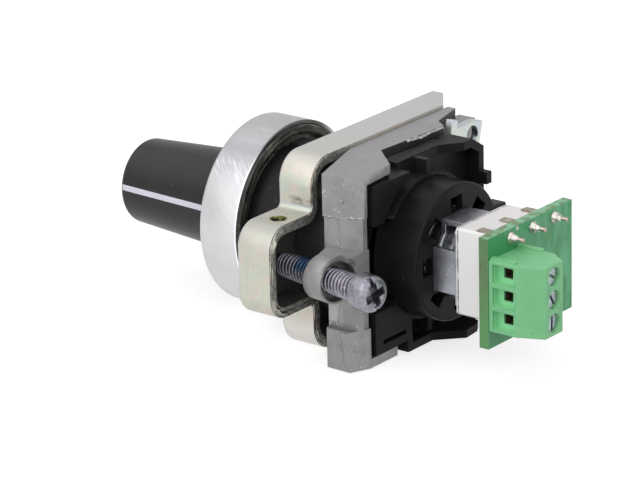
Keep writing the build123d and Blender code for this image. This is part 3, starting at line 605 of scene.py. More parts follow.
@dataclass(frozen=True)
class SpunChrome(Finish):
    """Satin chrome with slanting polishing strokes, a painted shade band over its upper side that thins out
    at the crown, painted glints, and a painted rim highlight that fades upward into painted shade.
    """

    painted_top_shade: Colour = (0.355, 0.345, 0.365)
    top_z: Span = (4.0, 11.5)
    crown_z: Span = (12.1, 14.6)
    stroke_dark: Colour = (0.36, 0.36, 0.37)
    stroke_slant: float = 0.75
    stroke_pitch: float = 0.16
    glint_z: float = 9.5
    rim_y: Span = (-0.3, -0.1)
    rim_highlight: Colour = (0.92, 0.92, 0.93)
    rim_painted_shade: Colour = (0.17, 0.17, 0.18)
    rim_fade_z: Span = (9.6, 12.6)

    def accent(self, skin: Surface) -> None:
        """Adds the painted shade band, the strokes with their painted glints, and the painted rim highlight;
        see Finish.accent.
        """
        tree = skin.tree
        crown = tree.ramp(skin.z, *self.crown_z, 1.0, 0.1)
        # painted shade: a darker band over the upper side, thinning out towards the crown
        skin.paint(tree.product(tree.ramp(skin.z, *self.top_z), crown), self.painted_top_shade)
        slanted = tree.turned(skin.rolled(14.0), (0.0, 0.0, 1.0), self.stroke_slant)
        strokes = skin.lines(self.stroke_pitch, (0.05, 1.0, 1.0), slanted)
        share = tree.ramp(skin.z, 0.0, self.top_z[0], 0.10, 0.46)
        skin.paint(tree.product(strokes.outputs["Mask"], share), self.stroke_dark)
        # painted glints: bright flecks along the strokes near glint_z
        near = tree.ramp(tree.away(skin.z, self.glint_z), 0.6, 2.4, 0.34, 0.0)
        skin.paint(tree.product(tree.ramp(strokes.outputs["Height"], 0.50, 0.62), near), self.rim_highlight)
        # painted highlight along the rear rim, turning to painted shade higher up
        rim = tree.mix(tree.ramp(skin.z, *self.rim_fade_z), self.rim_highlight, self.rim_painted_shade)
        skin.paint(tree.ramp(skin.y, *self.rim_y), rim)


@dataclass(frozen=True)
class DustyRubber(Finish):
    """Black rubber with moulded rings and an olive painted sheen on its upper part."""

    painted_sheen: Colour = (0.185, 0.18, 0.15)
    sheen_z: Span = (2.0, 12.0)
    ring_pitch: float = 0.9
    ring_height: float = 0.05

    def accent(self, skin: Surface) -> None:
        """Adds the rings and the painted sheen; see Finish.accent."""
        tree = skin.tree
        rolled = skin.rolled(14.0)
        _, _, radius = tree.parts(rolled)
        skin.emboss(tree.math("SINE", tree.product(radius, math.tau / self.ring_pitch)), self.ring_height)
        # painted sheen: streaky olive highlights that grow towards the top
        clouds = skin.lines(0.6, (0.15, 1.0, 1.0), rolled).outputs["Mask"]
        high = tree.ramp(skin.z, *self.sheen_z, 0.15, 0.85)
        skin.paint(tree.product(tree.ramp(clouds, 0.35, 0.85), high), self.painted_sheen)


@dataclass(frozen=True)
class PaintedLine(Finish):
    """White paint that stops short of the knob's end."""

    bare: Colour = (0.012, 0.0115, 0.0125)
    paint_from_y: float = -28.75

    def accent(self, skin: Surface) -> None:
        """Leaves the end bare; see Finish.accent."""
        skin.paint(skin.tree.math("LESS_THAN", skin.y, self.paint_from_y), self.bare)


@dataclass(frozen=True)
class PassivatedSheet(Finish):
    """Zinc-plated sheet steel: shimmers pink and green, is darker in patches just above the bend, and is
    tinted blue along its bends.
    """

    pink: Colour = (0.70, 0.545, 0.47)
    green: Colour = (0.50, 0.60, 0.47)
    blue: Colour = (0.45, 0.51, 0.56)
    shimmer: float = 0.55
    above_bend_dark: Colour = (0.13, 0.14, 0.12)
    above_bend_z: float = 8.6
    above_bend_share: float = 1.4
    bend_z: float = 7.75
    front_y: float = 8.3

    def accent(self, skin: Surface) -> None:
        """Adds the shimmer, the darker patches and the blue; see Finish.accent."""
        self.shine(skin)
        self.darken_above_bend(skin)
        self.tint(skin)

    def shine(self, skin: Surface) -> None:
        """Adds the pink and green patches and the streaks; see Finish.accent."""
        tree = skin.tree
        sideways = tree.ramp(tree.math("ABSOLUTE", skin.upward), 0.5, 0.8, self.shimmer, self.shimmer * 0.3)
        streaks = skin.lines(0.5, (1.0, 1.0, 0.07)).outputs["Mask"]
        skin.paint(tree.product(skin.patches(1.9, 5.0), sideways), self.pink)
        skin.paint(tree.product(skin.patches(2.7, 5.0, (1.7, 1.0, 1.3)), sideways), self.green)
        skin.paint(tree.product(streaks, sideways, 0.7), self.shade)

    def darken_above_bend(self, skin: Surface) -> None:
        """Adds darker patches in a band just above the bend; see Finish.accent."""
        tree = skin.tree
        # darker patches in a narrow band just above the bend
        level = tree.ramp(tree.away(skin.z, self.above_bend_z), 0.2, 0.8, self.shimmer * self.above_bend_share, 0.0)
        dark_patches = skin.patches(1.0, 6.0, (1.0, 0.6, 1.6))
        skin.paint(tree.product(dark_patches, level, tree.ramp(skin.y, 10.0, 11.5)), self.above_bend_dark)

    def tint(self, skin: Surface) -> None:
        """Adds the blue along the bend and behind the front face; see Finish.accent."""
        tree = skin.tree
        bend = tree.ramp(tree.away(skin.z, self.bend_z), 0.1, 0.45, self.shimmer, 0.0)
        front = tree.ramp(skin.y, self.front_y + 0.2, self.front_y + 0.9, self.shimmer, 0.0)
        seen = tree.math("GREATER_THAN", skin.facing, -0.6)
        skin.paint(tree.product(tree.math("MAXIMUM", bend, front), seen), self.blue)


@dataclass(frozen=True)
class HoledSheet(PassivatedSheet):
    """The same sheet with a hole whose wall has painted shade and painted glints."""

    hole_place: Span = (19.1, 12.0)
    hole_radius: float = 1.32
    hole_shade: Colour = (0.045, 0.045, 0.02)
    hole_glint: Colour = (0.34, 0.36, 0.13)

    def shade_hole_wall(self, skin: Surface, along: Socket, outward: Socket) -> None:
        """Paints shade and glints on the hole's wall.

        Args:
            skin: the surface under work.
            along: the second direction of the sheet that has the hole; x is the first.
            outward: how far the surface faces the way that the hole is drilled.
        """
        tree = skin.tree
        x, y = self.hole_place
        off = tree.length(tree.math("SUBTRACT", skin.x, x), tree.math("SUBTRACT", along, y))
        within = tree.math("LESS_THAN", off, self.hole_radius)
        wall = tree.product(within, tree.math("LESS_THAN", outward, 0.7))
        # painted shade on the hole's wall, broken by painted glints
        skin.paint(wall, tree.mix(skin.patches(0.7, 7.0), self.hole_shade, self.hole_glint))


@dataclass(frozen=True)
class ClampSheet(HoledSheet):
    """The clamp plate's sheet: painted shade on the ear, a painted reflection of the floor low down, a
    painted cool reflection on top, painted shade on the inside, and dull cut edges.
    """

    painted_ear_shade: Colour = (0.40, 0.40, 0.365)
    ear_x: Span = (19.0, 22.5)
    ear_z: Span = (3.0, 6.5)
    painted_floor_reflection: Colour = (0.72, 0.70, 0.67)
    foot_z: Span = (-8.0, -12.0)
    painted_top_reflection: Colour = (0.50, 0.50, 0.505)
    cool_z: Span = (13.0, 13.5)
    cool_x: Span = (12.0, -2.0)
    inside: Colour = (0.06, 0.068, 0.072)
    inside_share: float = 0.8
    web_to_y: float = 13.8
    edge_colour: Colour = (0.20, 0.20, 0.18)
    edge_y: Span = (14.1, 14.2)
    edge_x: Span = (2.0, 8.0)

    def accent(self, skin: Surface) -> None:
        """Adds each of them, from the skin inward; see Finish.accent."""
        tree = skin.tree
        self.shine(skin)
        self.darken_above_bend(skin)
        # painted shade on the ear, deepening towards its top
        on_ear = tree.product(tree.ramp(skin.x, *self.ear_x), tree.ramp(skin.z, *self.ear_z, 0.0, 0.75))
        skin.paint(on_ear, self.painted_ear_shade)
        # painted reflection of the floor, lightening the lower part
        skin.paint(tree.ramp(skin.z, *self.foot_z, 0.0, 0.8), self.painted_floor_reflection)
        self.tint(skin)
        # painted cool reflection on the upward faces of the top
        top = tree.product(tree.ramp(skin.upward, 0.7, 0.95), tree.ramp(skin.z, *self.cool_z))
        skin.paint(tree.product(top, tree.ramp(skin.x, *self.cool_x, 0.35, 0.95)), self.painted_top_reflection)
        # painted shade on the inner faces and on the web behind
        inner = tree.math("LESS_THAN", tree.product(skin.upward, skin.z), -0.5)
        behind = tree.math("GREATER_THAN", skin.facing, 0.6)
        web = tree.product(behind, tree.math("LESS_THAN", skin.y, self.web_to_y))
        skin.paint(tree.product(tree.math("MAXIMUM", inner, web), self.inside_share), self.inside)
        self.cut_edge(skin)
        self.shade_hole_wall(skin, skin.y, skin.upward)

    def cut_edge(self, skin: Surface) -> None:
        """Bares the sheared edge of the rear rim; see Finish.accent."""
        tree = skin.tree
        cut = tree.product(tree.ramp(skin.facing, 0.8, 0.95), tree.ramp(skin.y, *self.edge_y))
        facets = tree.product(skin.patches(0.5, 6.0), 0.6)
        skin.paint(
            tree.product(cut, tree.ramp(skin.x, *self.edge_x, 0.15, 1.0)),
            tree.mix(facets, self.edge_colour, self.shade),
        )


@dataclass(frozen=True)
class LockSheet(HoledSheet):
    """The lock ring's sheet, whose tab has its hole along y."""

    above_bend_share: float = 0.0

    def accent(self, skin: Surface) -> None:
        """Adds the painted shade and glints of the hole to the plain sheet; see Finish.accent."""
        super().accent(skin)
        self.shade_hole_wall(skin, skin.z, skin.facing)


@dataclass(frozen=True)
class CastSkin(Finish):
    """As-cast zinc: dull, with cold-flow marks, worn flecks and pits, and shade where no light reaches."""

    flow_height: float = 0.05
    flow_size: float = 1.1
    worn: Colour = (0.60, 0.60, 0.60)
    pit: Colour = (0.12, 0.115, 0.11)
    painted_top_reflection: Colour = (0.30, 0.297, 0.322)
    shadow: Colour = (0.022, 0.021, 0.021)
    shadow_z: Span = (12.6, 12.9)
    shadow_x: Span = (3.0, 3.5)
    neck_light: Colour = (0.46, 0.45, 0.45)
    boss_x: float = 20.0
    boss_y: float = 22.0
    boss_lean: float = math.tan(math.radians(10.0))
    bore: Span = (2.95, 3.25)
    mouth_y: Span = (22.4, 22.7)
    hub_shade: Colour = (0.035, 0.045, 0.052)
    hub_y: Span = (16.6, 17.0)

    def accent(self, skin: Surface) -> None:
        """Adds the marks, then the light and shade of each region; see Finish.accent."""
        tree = skin.tree
        skin.emboss(skin.use(skin.effects.grain, Size=self.flow_size).outputs["Height"], self.flow_height)
        rubbed = skin.patches(2.2, 8.0)
        for size, share, shown in ((0.5, 0.14, self.worn), (0.34, 0.12, self.pit)):
            skin.paint(tree.product(skin.specks(size, share), rubbed), shown)
        # painted cool reflection on the upward faces
        skin.paint(tree.ramp(skin.upward, 0.6, 0.9, 0.0, 0.6), self.painted_top_reflection)
        rear = tree.product(tree.ramp(skin.facing, 0.6, 0.8), tree.ramp(skin.z, *self.shadow_z))
        skin.paint(tree.product(rear, tree.ramp(skin.x, *self.shadow_x, 1.0, 0.0), 0.95), self.shadow)
        level = tree.math("ABSOLUTE", skin.z)
        neck = tree.product(tree.ramp(skin.y, 17.6, 18.0), tree.ramp(skin.y, 20.0, 21.6, 1.0, 0.0))
        neck = tree.product(neck, tree.ramp(level, 3.0, 4.0), tree.ramp(level, 7.9, 8.1, 0.7, 0.0))
        skin.paint(neck, self.neck_light)
        self.shade_boss(skin)
        hub = tree.product(tree.ramp(skin.y, *self.hub_y, 0.8, 0.0), tree.ramp(level, 7.5, 8.5, 1.0, 0.0))
        skin.paint(hub, self.hub_shade)

    def shade_boss(self, skin: Surface) -> None:
        """Darkens the leaning boss's bore and the upper part of its mouth; see Finish.accent."""
        tree = skin.tree
        lean = tree.product(tree.math("SUBTRACT", skin.y, self.boss_y), self.boss_lean)
        across = tree.math("SUBTRACT", skin.x, tree.math("ADD", self.boss_x, lean))
        off = tree.length(across, skin.z)
        skin.paint(tree.ramp(off, *self.bore, 0.6, 0.0), self.shadow)
        mouth = tree.product(tree.ramp(skin.y, *self.mouth_y), tree.ramp(off, 3.7, 3.9, 0.55, 0.0))
        skin.paint(tree.product(mouth, tree.ramp(skin.z, 1.6, 2.4)), self.shadow)


@dataclass(frozen=True)
class ZincThread(Finish):
    """Blue passivated screw with painted shade on its front part, and a dry locking patch on its front
    threads.
    """

    painted_front_shade: Colour = (0.085, 0.085, 0.10)
    front_shade_y: Span = (19.0, 19.6)
    patch_colour: Colour = (0.010, 0.055, 0.125)
    patch_begin_y: Span = (15.6, 16.1)
    patch_end_y: Span = (18.9, 19.4)

    def accent(self, skin: Surface) -> None:
        """Adds the painted shade in front, and the locking patch on the upper side; see Finish.accent."""
        tree = skin.tree
        # painted shade, in patches, on the front part of the thread
        thin = tree.ramp(skin.patches(0.35, 4.0), 0.0, 1.0, 0.55, 0.95)
        skin.paint(tree.product(tree.ramp(skin.y, *self.front_shade_y, 1.0, 0.0), thin), self.painted_front_shade)
        begun = tree.ramp(skin.y, *self.patch_begin_y)
        going = tree.ramp(skin.y, *self.patch_end_y, 1.0, 0.0)
        rubbed = tree.ramp(skin.patches(0.5, 3.0), 0.0, 1.0, 0.55, 1.0)
        skin.paint(tree.product(begun, going, tree.ramp(skin.z, 0.2, 1.1), rubbed), self.patch_colour)


@dataclass(frozen=True)
class BoardLaminate(Finish):
    """Green solder mask over glass laminate, which shows bare and layered at the cut edges."""

    laminate: Colour = (0.105, 0.25, 0.095)
    laminate_dark: Colour = (0.095, 0.135, 0.06)
    lower_laminate: Colour = (0.095, 0.315, 0.105)
    lower_z: Span = (1.0, -6.0)
    painted_top_highlight: Colour = (0.16, 0.40, 0.22)
    top_z: Span = (7.6, 7.75)
    copper_tint: Colour = (0.03, 0.24, 0.075)
    painted_haze: Colour = (0.115, 0.42, 0.215)
    painted_haze_x: Span = (-4.0, 2.0)
    freckle: Colour = (0.19, 0.19, 0.13)
    freckle_x: Span = (-3.5, -1.0)

    def accent(self, skin: Surface) -> None:
        """Adds the copper under the mask, a painted reflection haze, freckles and the layered edge with a
        painted highlight on top; see Finish.accent.
        """
        tree = skin.tree
        skin.paint(tree.product(skin.patches(3.0, 6.0, (1.0, 0.2, 0.5)), 0.35), self.copper_tint)
        # painted reflection: a pale green haze over the far part
        far = tree.ramp(skin.x, *self.painted_haze_x, 0.75, 0.0)
        skin.paint(tree.product(far, skin.patches(1.8, 5.0, (1.0, 1.0, 0.35))), self.painted_haze)
        spotted = tree.product(skin.specks(0.55, 0.34), tree.ramp(skin.x, *self.freckle_x, 0.75, 0.0))
        skin.paint(spotted, self.freckle)
        layers = skin.lines(0.22, (0.1, 1.0, 0.1)).outputs["Mask"]
        bare = tree.mix(layers, self.laminate, self.laminate_dark)
        bare = tree.mix(tree.ramp(skin.z, *self.lower_z, 0.0, 0.6), bare, self.lower_laminate)
        # painted highlight on the top edge
        topped = tree.product(tree.ramp(skin.z, *self.top_z), skin.patches(1.3, 7.0))
        edge = tree.math("LESS_THAN", tree.math("ABSOLUTE", skin.facing), 0.5)
        skin.paint(edge, tree.mix(topped, bare, self.painted_top_highlight))


@dataclass(frozen=True)
class CaseShell(Finish):
    """White moulding with a dark shadow line where its front and lower edges meet the metal."""

    painted_top_shade: Colour = (0.70, 0.665, 0.66)
    line_colour: Colour = (0.10, 0.09, 0.09)
    line_width: float = 0.14
    seam_y: float = 34.88
    bottom_z: Span = (-6.85, -6.68)

    def accent(self, skin: Surface) -> None:
        """Adds painted shade on the top and the thin dark line along the seam; see Finish.accent."""
        tree = skin.tree
        # painted shade on the upward faces
        skin.paint(tree.ramp(skin.upward, 0.4, 0.9), self.painted_top_shade)
        width = tree.product(tree.math("ADD", skin.patches(1.2, 3.0), 0.3), self.line_width)
        seam = tree.math("LESS_THAN", tree.away(skin.y, self.seam_y), width)
        low = tree.ramp(skin.z, *self.bottom_z, 0.8, 0.0)
        skin.paint(tree.math("MAXIMUM", tree.product(seam, 0.75), low), self.line_colour)


@dataclass(frozen=True)
class TerminalPlastic(Finish):
    """Green moulding with painted light on the walls round the wire entries, where they lie in shade."""

    painted_recess_light: Colour = (0.30, 0.72, 0.375)
    entries_x: Span = (10.47, 10.82)
    entries_depth_x: float = 7.97
    entries_to_y: float = 47.6
    entries_top_z: float = 4.1

    def accent(self, skin: Surface) -> None:
        """Paints light on the entries' walls; see Finish.accent."""
        tree = skin.tree
        deep = tree.ramp(skin.x, *self.entries_x, 1.0, 0.0)
        within = (
            tree.math("LESS_THAN", skin.z, self.entries_top_z),
            tree.math("LESS_THAN", skin.y, self.entries_to_y),
            tree.math("GREATER_THAN", skin.x, self.entries_depth_x),
        )
        # painted light in the shaded entries
        skin.paint(tree.product(deep, *within), self.painted_recess_light)


@dataclass(frozen=True)
class TinnedPin(Finish):
    """Tinned brass that shows copper-coloured where the ends were cut."""

    bare: Colour = (0.48, 0.35, 0.31)
    bare_y: Span = (45.2, 45.5)
    brass: Colour = (0.30, 0.25, 0.17)
    brass_y: Span = (41.0, 40.7)

    def accent(self, skin: Surface) -> None:
        """Adds the bare ends and the brass tabs; see Finish.accent."""
        tree = skin.tree
        skin.paint(tree.ramp(skin.y, *self.bare_y), self.bare)
        skin.paint(tree.product(tree.ramp(skin.y, *self.brass_y), skin.patches(0.9, 6.0)), self.brass)


COATS = (
    SpunChrome("satin_chrome", (0.615, 0.61, 0.615), (0.555, 0.55, 0.57), 1.0, 0.40, 0.06, patch_size=6.0,
               grain_size=0.08, grain_height=0.001, brushing=Brushing.AROUND_Y, brush_pitch=0.16,
               brush_height=0.004),
    DustyRubber("gasket_rubber", (0.018, 0.018, 0.018), (0.009, 0.009, 0.009), 0.0, 0.36, 0.10, 0.4,
                patch_size=2.0, patch_contrast=4.0, grain_size=0.35, grain_height=0.02,
                speck_colour=(0.12, 0.11, 0.07), speck_size=0.7, speck_share=0.06),
    Finish("head_plastic", (0.007, 0.0065, 0.007), (0.011, 0.010, 0.010), 0.0, 0.40, 0.08, 0.15,
           grain_size=0.25, grain_height=0.006, scratch_spacing=2.0, scratch_colour=(0.045, 0.043, 0.042)),
    Finish("knob_plastic", (0.012, 0.0115, 0.0125), (0.018, 0.017, 0.018), 0.0, 0.36, 0.06, 0.28,
           grain_size=0.12, grain_height=0.0025, speck_colour=(0.05, 0.05, 0.05), speck_size=0.9,
           speck_share=0.03),
    PaintedLine("pointer_paint", (0.68, 0.67, 0.76), (0.60, 0.59, 0.68), 0.0, 0.45, 0.05, grain_size=0.1,
                grain_height=0.004),
    ClampSheet("passivated_sheet", (0.555, 0.53, 0.475), (0.485, 0.48, 0.445), 0.75, 0.50, 0.08,
               grain_size=0.2, grain_height=0.006, brushing=Brushing.ALONG_Z, brush_pitch=0.25,
               brush_height=0.004, scratch_spacing=3.0, scratch_colour=(0.42, 0.41, 0.36)),
    PassivatedSheet("crushed_rim", (0.36, 0.36, 0.325), (0.20, 0.20, 0.175), 0.9, 0.34, 0.08, patch_size=1.4,
                    patch_contrast=3.5, grain_size=0.5, grain_height=0.02, shimmer=0.2),
    CastSkin("cast_zinc", (0.308, 0.298, 0.295), (0.25, 0.242, 0.24), 0.6, 0.52, 0.10, patch_size=2.5,
             patch_contrast=3.5, grain_size=0.22, grain_height=0.015),
    Finish("torn_flash", (0.47, 0.465, 0.465), (0.29, 0.285, 0.28), 0.7, 0.42, 0.08, patch_size=0.5,
           patch_contrast=6.0, grain_size=0.2, grain_height=0.02),
    LockSheet("bright_zinc", (0.56, 0.59, 0.585), (0.47, 0.50, 0.52), 0.95, 0.34, 0.06, patch_size=1.8,
              patch_contrast=4.0, grain_size=0.3, grain_height=0.006, pink=(0.50, 0.54, 0.66),
              green=(0.58, 0.63, 0.50), shimmer=0.6, hole_place=(-17.95, 11.4), hole_radius=1.44,
              hole_shade=(0.14, 0.17, 0.18), hole_glint=(0.42, 0.50, 0.53)),
    ZincThread("blue_zinc", (0.30, 0.285, 0.325), (0.21, 0.20, 0.24), 1.0, 0.34, 0.08, patch_size=0.9,
               patch_contrast=4.0, grain_size=0.12, grain_height=0.004, speck_colour=(0.40, 0.36, 0.34),
               speck_size=0.5, speck_share=0.08, scratch_spacing=1.2, scratch_colour=(0.62, 0.61, 0.64)),
    Finish("carrier_plastic", (0.0105, 0.0098, 0.0098), (0.014, 0.0132, 0.0132), 0.0, 0.38, 0.08, 0.07,
           grain_size=0.2, grain_height=0.004, scratch_spacing=3.0, scratch_colour=(0.022, 0.021, 0.021)),
    Finish("drum_plastic", (0.0075, 0.007, 0.007), (0.011, 0.0105, 0.0105), 0.0, 0.34, 0.07, 0.09,
           grain_size=0.16, grain_height=0.003, brushing=Brushing.AROUND_Y, brush_pitch=0.5,
           brush_height=0.003, speck_colour=(0.04, 0.04, 0.04), speck_size=0.9, speck_share=0.03),
    Finish("nickel", (0.34, 0.33, 0.32), (0.24, 0.235, 0.23), 1.0, 0.32, 0.06, brushing=Brushing.AROUND_Y,
           brush_height=0.004),
    # flange_metal: its bright specks are painted glints
    Finish("flange_metal", (0.10, 0.10, 0.11), (0.19, 0.19, 0.20), 0.8, 0.34, 0.08, patch_size=0.9,
           patch_contrast=5.0, grain_size=0.4, grain_height=0.01, speck_colour=(0.6, 0.6, 0.62),
           speck_size=0.5, speck_share=0.12),
    Finish("folded_steel", (0.43, 0.445, 0.485), (0.31, 0.32, 0.355), 1.0, 0.36, 0.05, patch_size=2.4,
           patch_contrast=2.2, grain_size=0.5, grain_height=0.001, brushing=Brushing.ALONG_Y,
           brush_pitch=0.22, brush_height=0.001, speck_colour=(0.60, 0.61, 0.64), speck_size=0.5,
           speck_share=0.05, scratch_spacing=1.4, scratch_colour=(0.62, 0.63, 0.66)),
    CaseShell("case_plastic", (0.91, 0.865, 0.86), (0.93, 0.895, 0.89), 0.0, 0.42, 0.06, subsurface=0.05,
              patch_size=3.0, grain_size=0.25, grain_height=0.004),
    Finish("track_ink", (0.02, 0.018, 0.016), (0.05, 0.04, 0.03), 0.0, 0.5, 0.1, brushing=Brushing.AROUND_Y),
    Finish("rotor_plastic", (0.62, 0.58, 0.48), (0.55, 0.52, 0.43), 0.0, 0.45, 0.06),
    Finish("spring_bronze", (0.62, 0.44, 0.18), (0.50, 0.34, 0.14), 1.0, 0.3, 0.06,
           brushing=Brushing.ALONG_X),
    Finish("turned_steel", (0.58, 0.58, 0.58), (0.50, 0.50, 0.50), 1.0, 0.28, 0.06,
           brushing=Brushing.AROUND_Y, brush_pitch=0.1, brush_height=0.004),
    Finish("spring_steel", (0.16, 0.16, 0.18), (0.10, 0.10, 0.13), 1.0, 0.35, 0.08),
    Finish("seal_rubber", (0.02, 0.02, 0.02), (0.03, 0.03, 0.03), 0.0, 0.6, 0.1, grain_height=0.01),
    TinnedPin("tinned_pin", (0.52, 0.50, 0.46), (0.32, 0.29, 0.25), 0.9, 0.36, 0.08, patch_size=0.5,
              patch_contrast=4.0, grain_size=0.15, grain_height=0.012),
    Finish("rivet_steel", (0.80, 0.80, 0.81), (0.66, 0.67, 0.70), 1.0, 0.24, 0.06, patch_size=0.8,
           grain_size=0.3, grain_height=0.010),
    Finish("solder", (0.66, 0.64, 0.60), (0.44, 0.41, 0.36), 0.85, 0.36, 0.08, patch_size=0.4,
           patch_contrast=4.0, grain_size=0.3, grain_height=0.03, speck_colour=(0.16, 0.10, 0.07),
           speck_size=0.32, speck_share=0.14),
    BoardLaminate("green_laminate", (0.040, 0.285, 0.105), (0.045, 0.245, 0.095), 0.0, 0.34, 0.08, 0.4,
                  patch_size=2.0, grain_size=0.3, grain_height=0.006, speck_colour=(0.16, 0.17, 0.11),
                  speck_size=0.42, speck_share=0.10),
    TerminalPlastic("terminal_plastic", (0.18, 0.49, 0.235), (0.16, 0.45, 0.21), 0.0, 0.40, 0.06, 0.4, 0.06,
                    patch_size=3.0, grain_size=0.22, grain_height=0.006, speck_colour=(0.13, 0.36, 0.17),
                    speck_size=0.8, speck_share=0.02),
    Finish("plated_cage", (0.22, 0.15, 0.105), (0.36, 0.29, 0.22), 0.7, 0.38, 0.1, patch_size=0.8,
           patch_contrast=4.0),
    Finish("plated_screw", (0.40, 0.46, 0.50), (0.28, 0.32, 0.35), 1.0, 0.30, 0.08, patch_size=0.7,
           patch_contrast=3.0, grain_size=0.15, grain_height=0.008, scratch_spacing=0.9,
           scratch_colour=(0.70, 0.74, 0.78)),
)
FINISHES: dict[str, Finish] = {coat.name: coat for coat in COATS}


class Shelf:
    """Keeps each material once it is mixed."""

    def __init__(self) -> None:
        """Builds the shared effects and starts with no material."""
        self.effects = Effects()
        self._made: dict[str, bpy.types.Material] = {}

    def take(self, name: str) -> bpy.types.Material:
        """Returns the material of a finish, mixing it on first use.

        Args:
            name: the finish's name.

        Returns:
            The material.
        """
        if name not in self._made:
            self._made[name] = FINISHES[name].material(self.effects)
        return self._made[name]


def break_edges(piece: bpy.types.Object, width: float, angle: float) -> None:
    """Breaks a piece's sharp edges.

    Args:
        piece: the piece.
        width: width of the broken edge in millimetres.
        angle: the least angle, in degrees, that counts as sharp.
    """
    bevel = piece.modifiers.new("broken_edges", "BEVEL")
    bevel.width = width * MM
    bevel.segments = 2
    bevel.limit_method = "ANGLE"
    bevel.angle_limit = math.radians(angle)
    bevel.harden_normals = True


@dataclass
class SubAssembly:
    """Shared work of the sub-assemblies: dressing frame nodes and adding pieces of their own.

    The coats give each node's finish and the width of its broken edges in millimetres; 0 leaves
    the edges as they are.
    """

    shelf: Shelf
    coats: ClassVar[dict[str, tuple[str, float]]] = {}

    def build(self) -> None:
        """Dresses the nodes, then adds the pieces."""
        for node, (finish, edge) in self.coats.items():
            self.dress(node, finish, edge)
        self.add_pieces()
        LOG.info("finished %s", type(self).__name__)

    def add_pieces(self) -> None:
        """Adds the pieces that only the scene has; a plain sub-assembly has none."""

    def dress(self, node: str, finish: str, edge: float) -> None:
        """Gives a node of the frame its finish and slightly broken edges.

        Args:
            node: the node's name.
            finish: the finish's name.
            edge: width of the broken edge in millimetres.
        """
        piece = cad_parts[node]
        piece.data.materials.clear()
        piece.data.materials.append(self.shelf.take(finish))
        if edge:
            weld = piece.modifiers.new("joined_faces", "WELD")
            weld.merge_threshold = 0.002 * MM
            break_edges(piece, edge, 35)
        LOG.info("dressed %s in %s", node, finish)

    def add(
        self, piece: bpy.types.Object, body: Body, finish: str, slot: str, stands_for: Iterable[str] = ()
    ) -> None:
        """Finishes a new piece and hands it to a body.

        Args:
            piece: the new object, in the frame's place.
            body: the body it moves with.
            finish: the finish's name.
            slot: not used.
            stands_for: frame nodes it is shown for.
        """
        piece.data.materials.append(self.shelf.take(finish))
        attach(piece, body.value)
        for node in stands_for:
            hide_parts(node)
        LOG.info("made %s in %s on %s", piece.name, finish, body.value)


def piece_from(name: str, mesh: bmesh.types.BMesh, smooth: bool = True) -> bpy.types.Object:
    """Turns a working mesh, in millimetres, into an object in metres.

    Args:
        name: the piece's name.
        mesh: the working mesh, which is freed.
        smooth: whether its faces are shaded smooth.

    Returns:
        The linked object.
    """
    bmesh.ops.recalc_face_normals(mesh, faces=mesh.faces)
    data = bpy.data.meshes.new(name)
    mesh.to_mesh(data)
    mesh.free()
    data.transform(Matrix.Scale(MM, 4))
    for polygon in data.polygons:
        polygon.use_smooth = smooth
    piece = bpy.data.objects.new(name, data)
    bpy.context.scene.collection.objects.link(piece)
    return piece


def mesh_of(node: str) -> bmesh.types.BMesh:
    """Copies a frame node's mesh.

    Args:
        node: the node's name.

    Returns:
        A working mesh in millimetres.
    """
    mesh = bmesh.new()
    mesh.from_mesh(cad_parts[node].data)
    mesh.transform(Matrix.Scale(1 / MM, 4))
    return mesh


def ring(mesh: bmesh.types.BMesh, centre: Vector, axis: Vector, radii: Sequence[float]) -> Ring:
    """Sets a ring of points round an axis.

    Args:
        mesh: working mesh that receives it.
        centre: the ring's middle.
        axis: the axis, of length 1.
        radii: the radius of each point, in even steps round.

    Returns:
        The points.
    """
    side = axis.orthogonal().normalized()
    across = axis.cross(side)
    made = []
    for step, radius in enumerate(radii):
        angle = math.tau * step / len(radii)
        made.append(mesh.verts.new(centre + (side * math.cos(angle) + across * math.sin(angle)) * radius))
    return made


def join(mesh: bmesh.types.BMesh, rings: Sequence[Ring]) -> None:
    """Joins each ring to the next with faces; a ring of one point closes the end.

    Args:
        mesh: working mesh that receives them.
        rings: the rings in order.
    """
    for low, high in zip(rings, rings[1:]):
        for step in range(max(len(low), len(high))):
            corners = [low[step % len(low)], low[(step + 1) % len(low)]]
            corners += [high[(step + 1) % len(high)], high[step % len(high)]]
            distinct = list(dict.fromkeys(corners))
            if len(distinct) > 2:
                mesh.faces.new(distinct)


def turn(
    mesh: bmesh.types.BMesh, profile: Sequence[Span], foot: Vector, axis: Vector, steps: int = 48
) -> None:
    """Turns a profile about an axis into a skin.

    Args:
        mesh: working mesh that receives it.
        profile: (radius, height) pairs from the foot up; a radius of 0 closes the end.
        foot: where height 0 lies on the axis.
        axis: direction of the height, of length 1.
        steps: number of steps round.
    """
    rings = []
    for radius, height in profile:
        rings.append(ring(mesh, foot + axis * height, axis, [radius] * (steps if radius else 1)))
    join(mesh, rings)


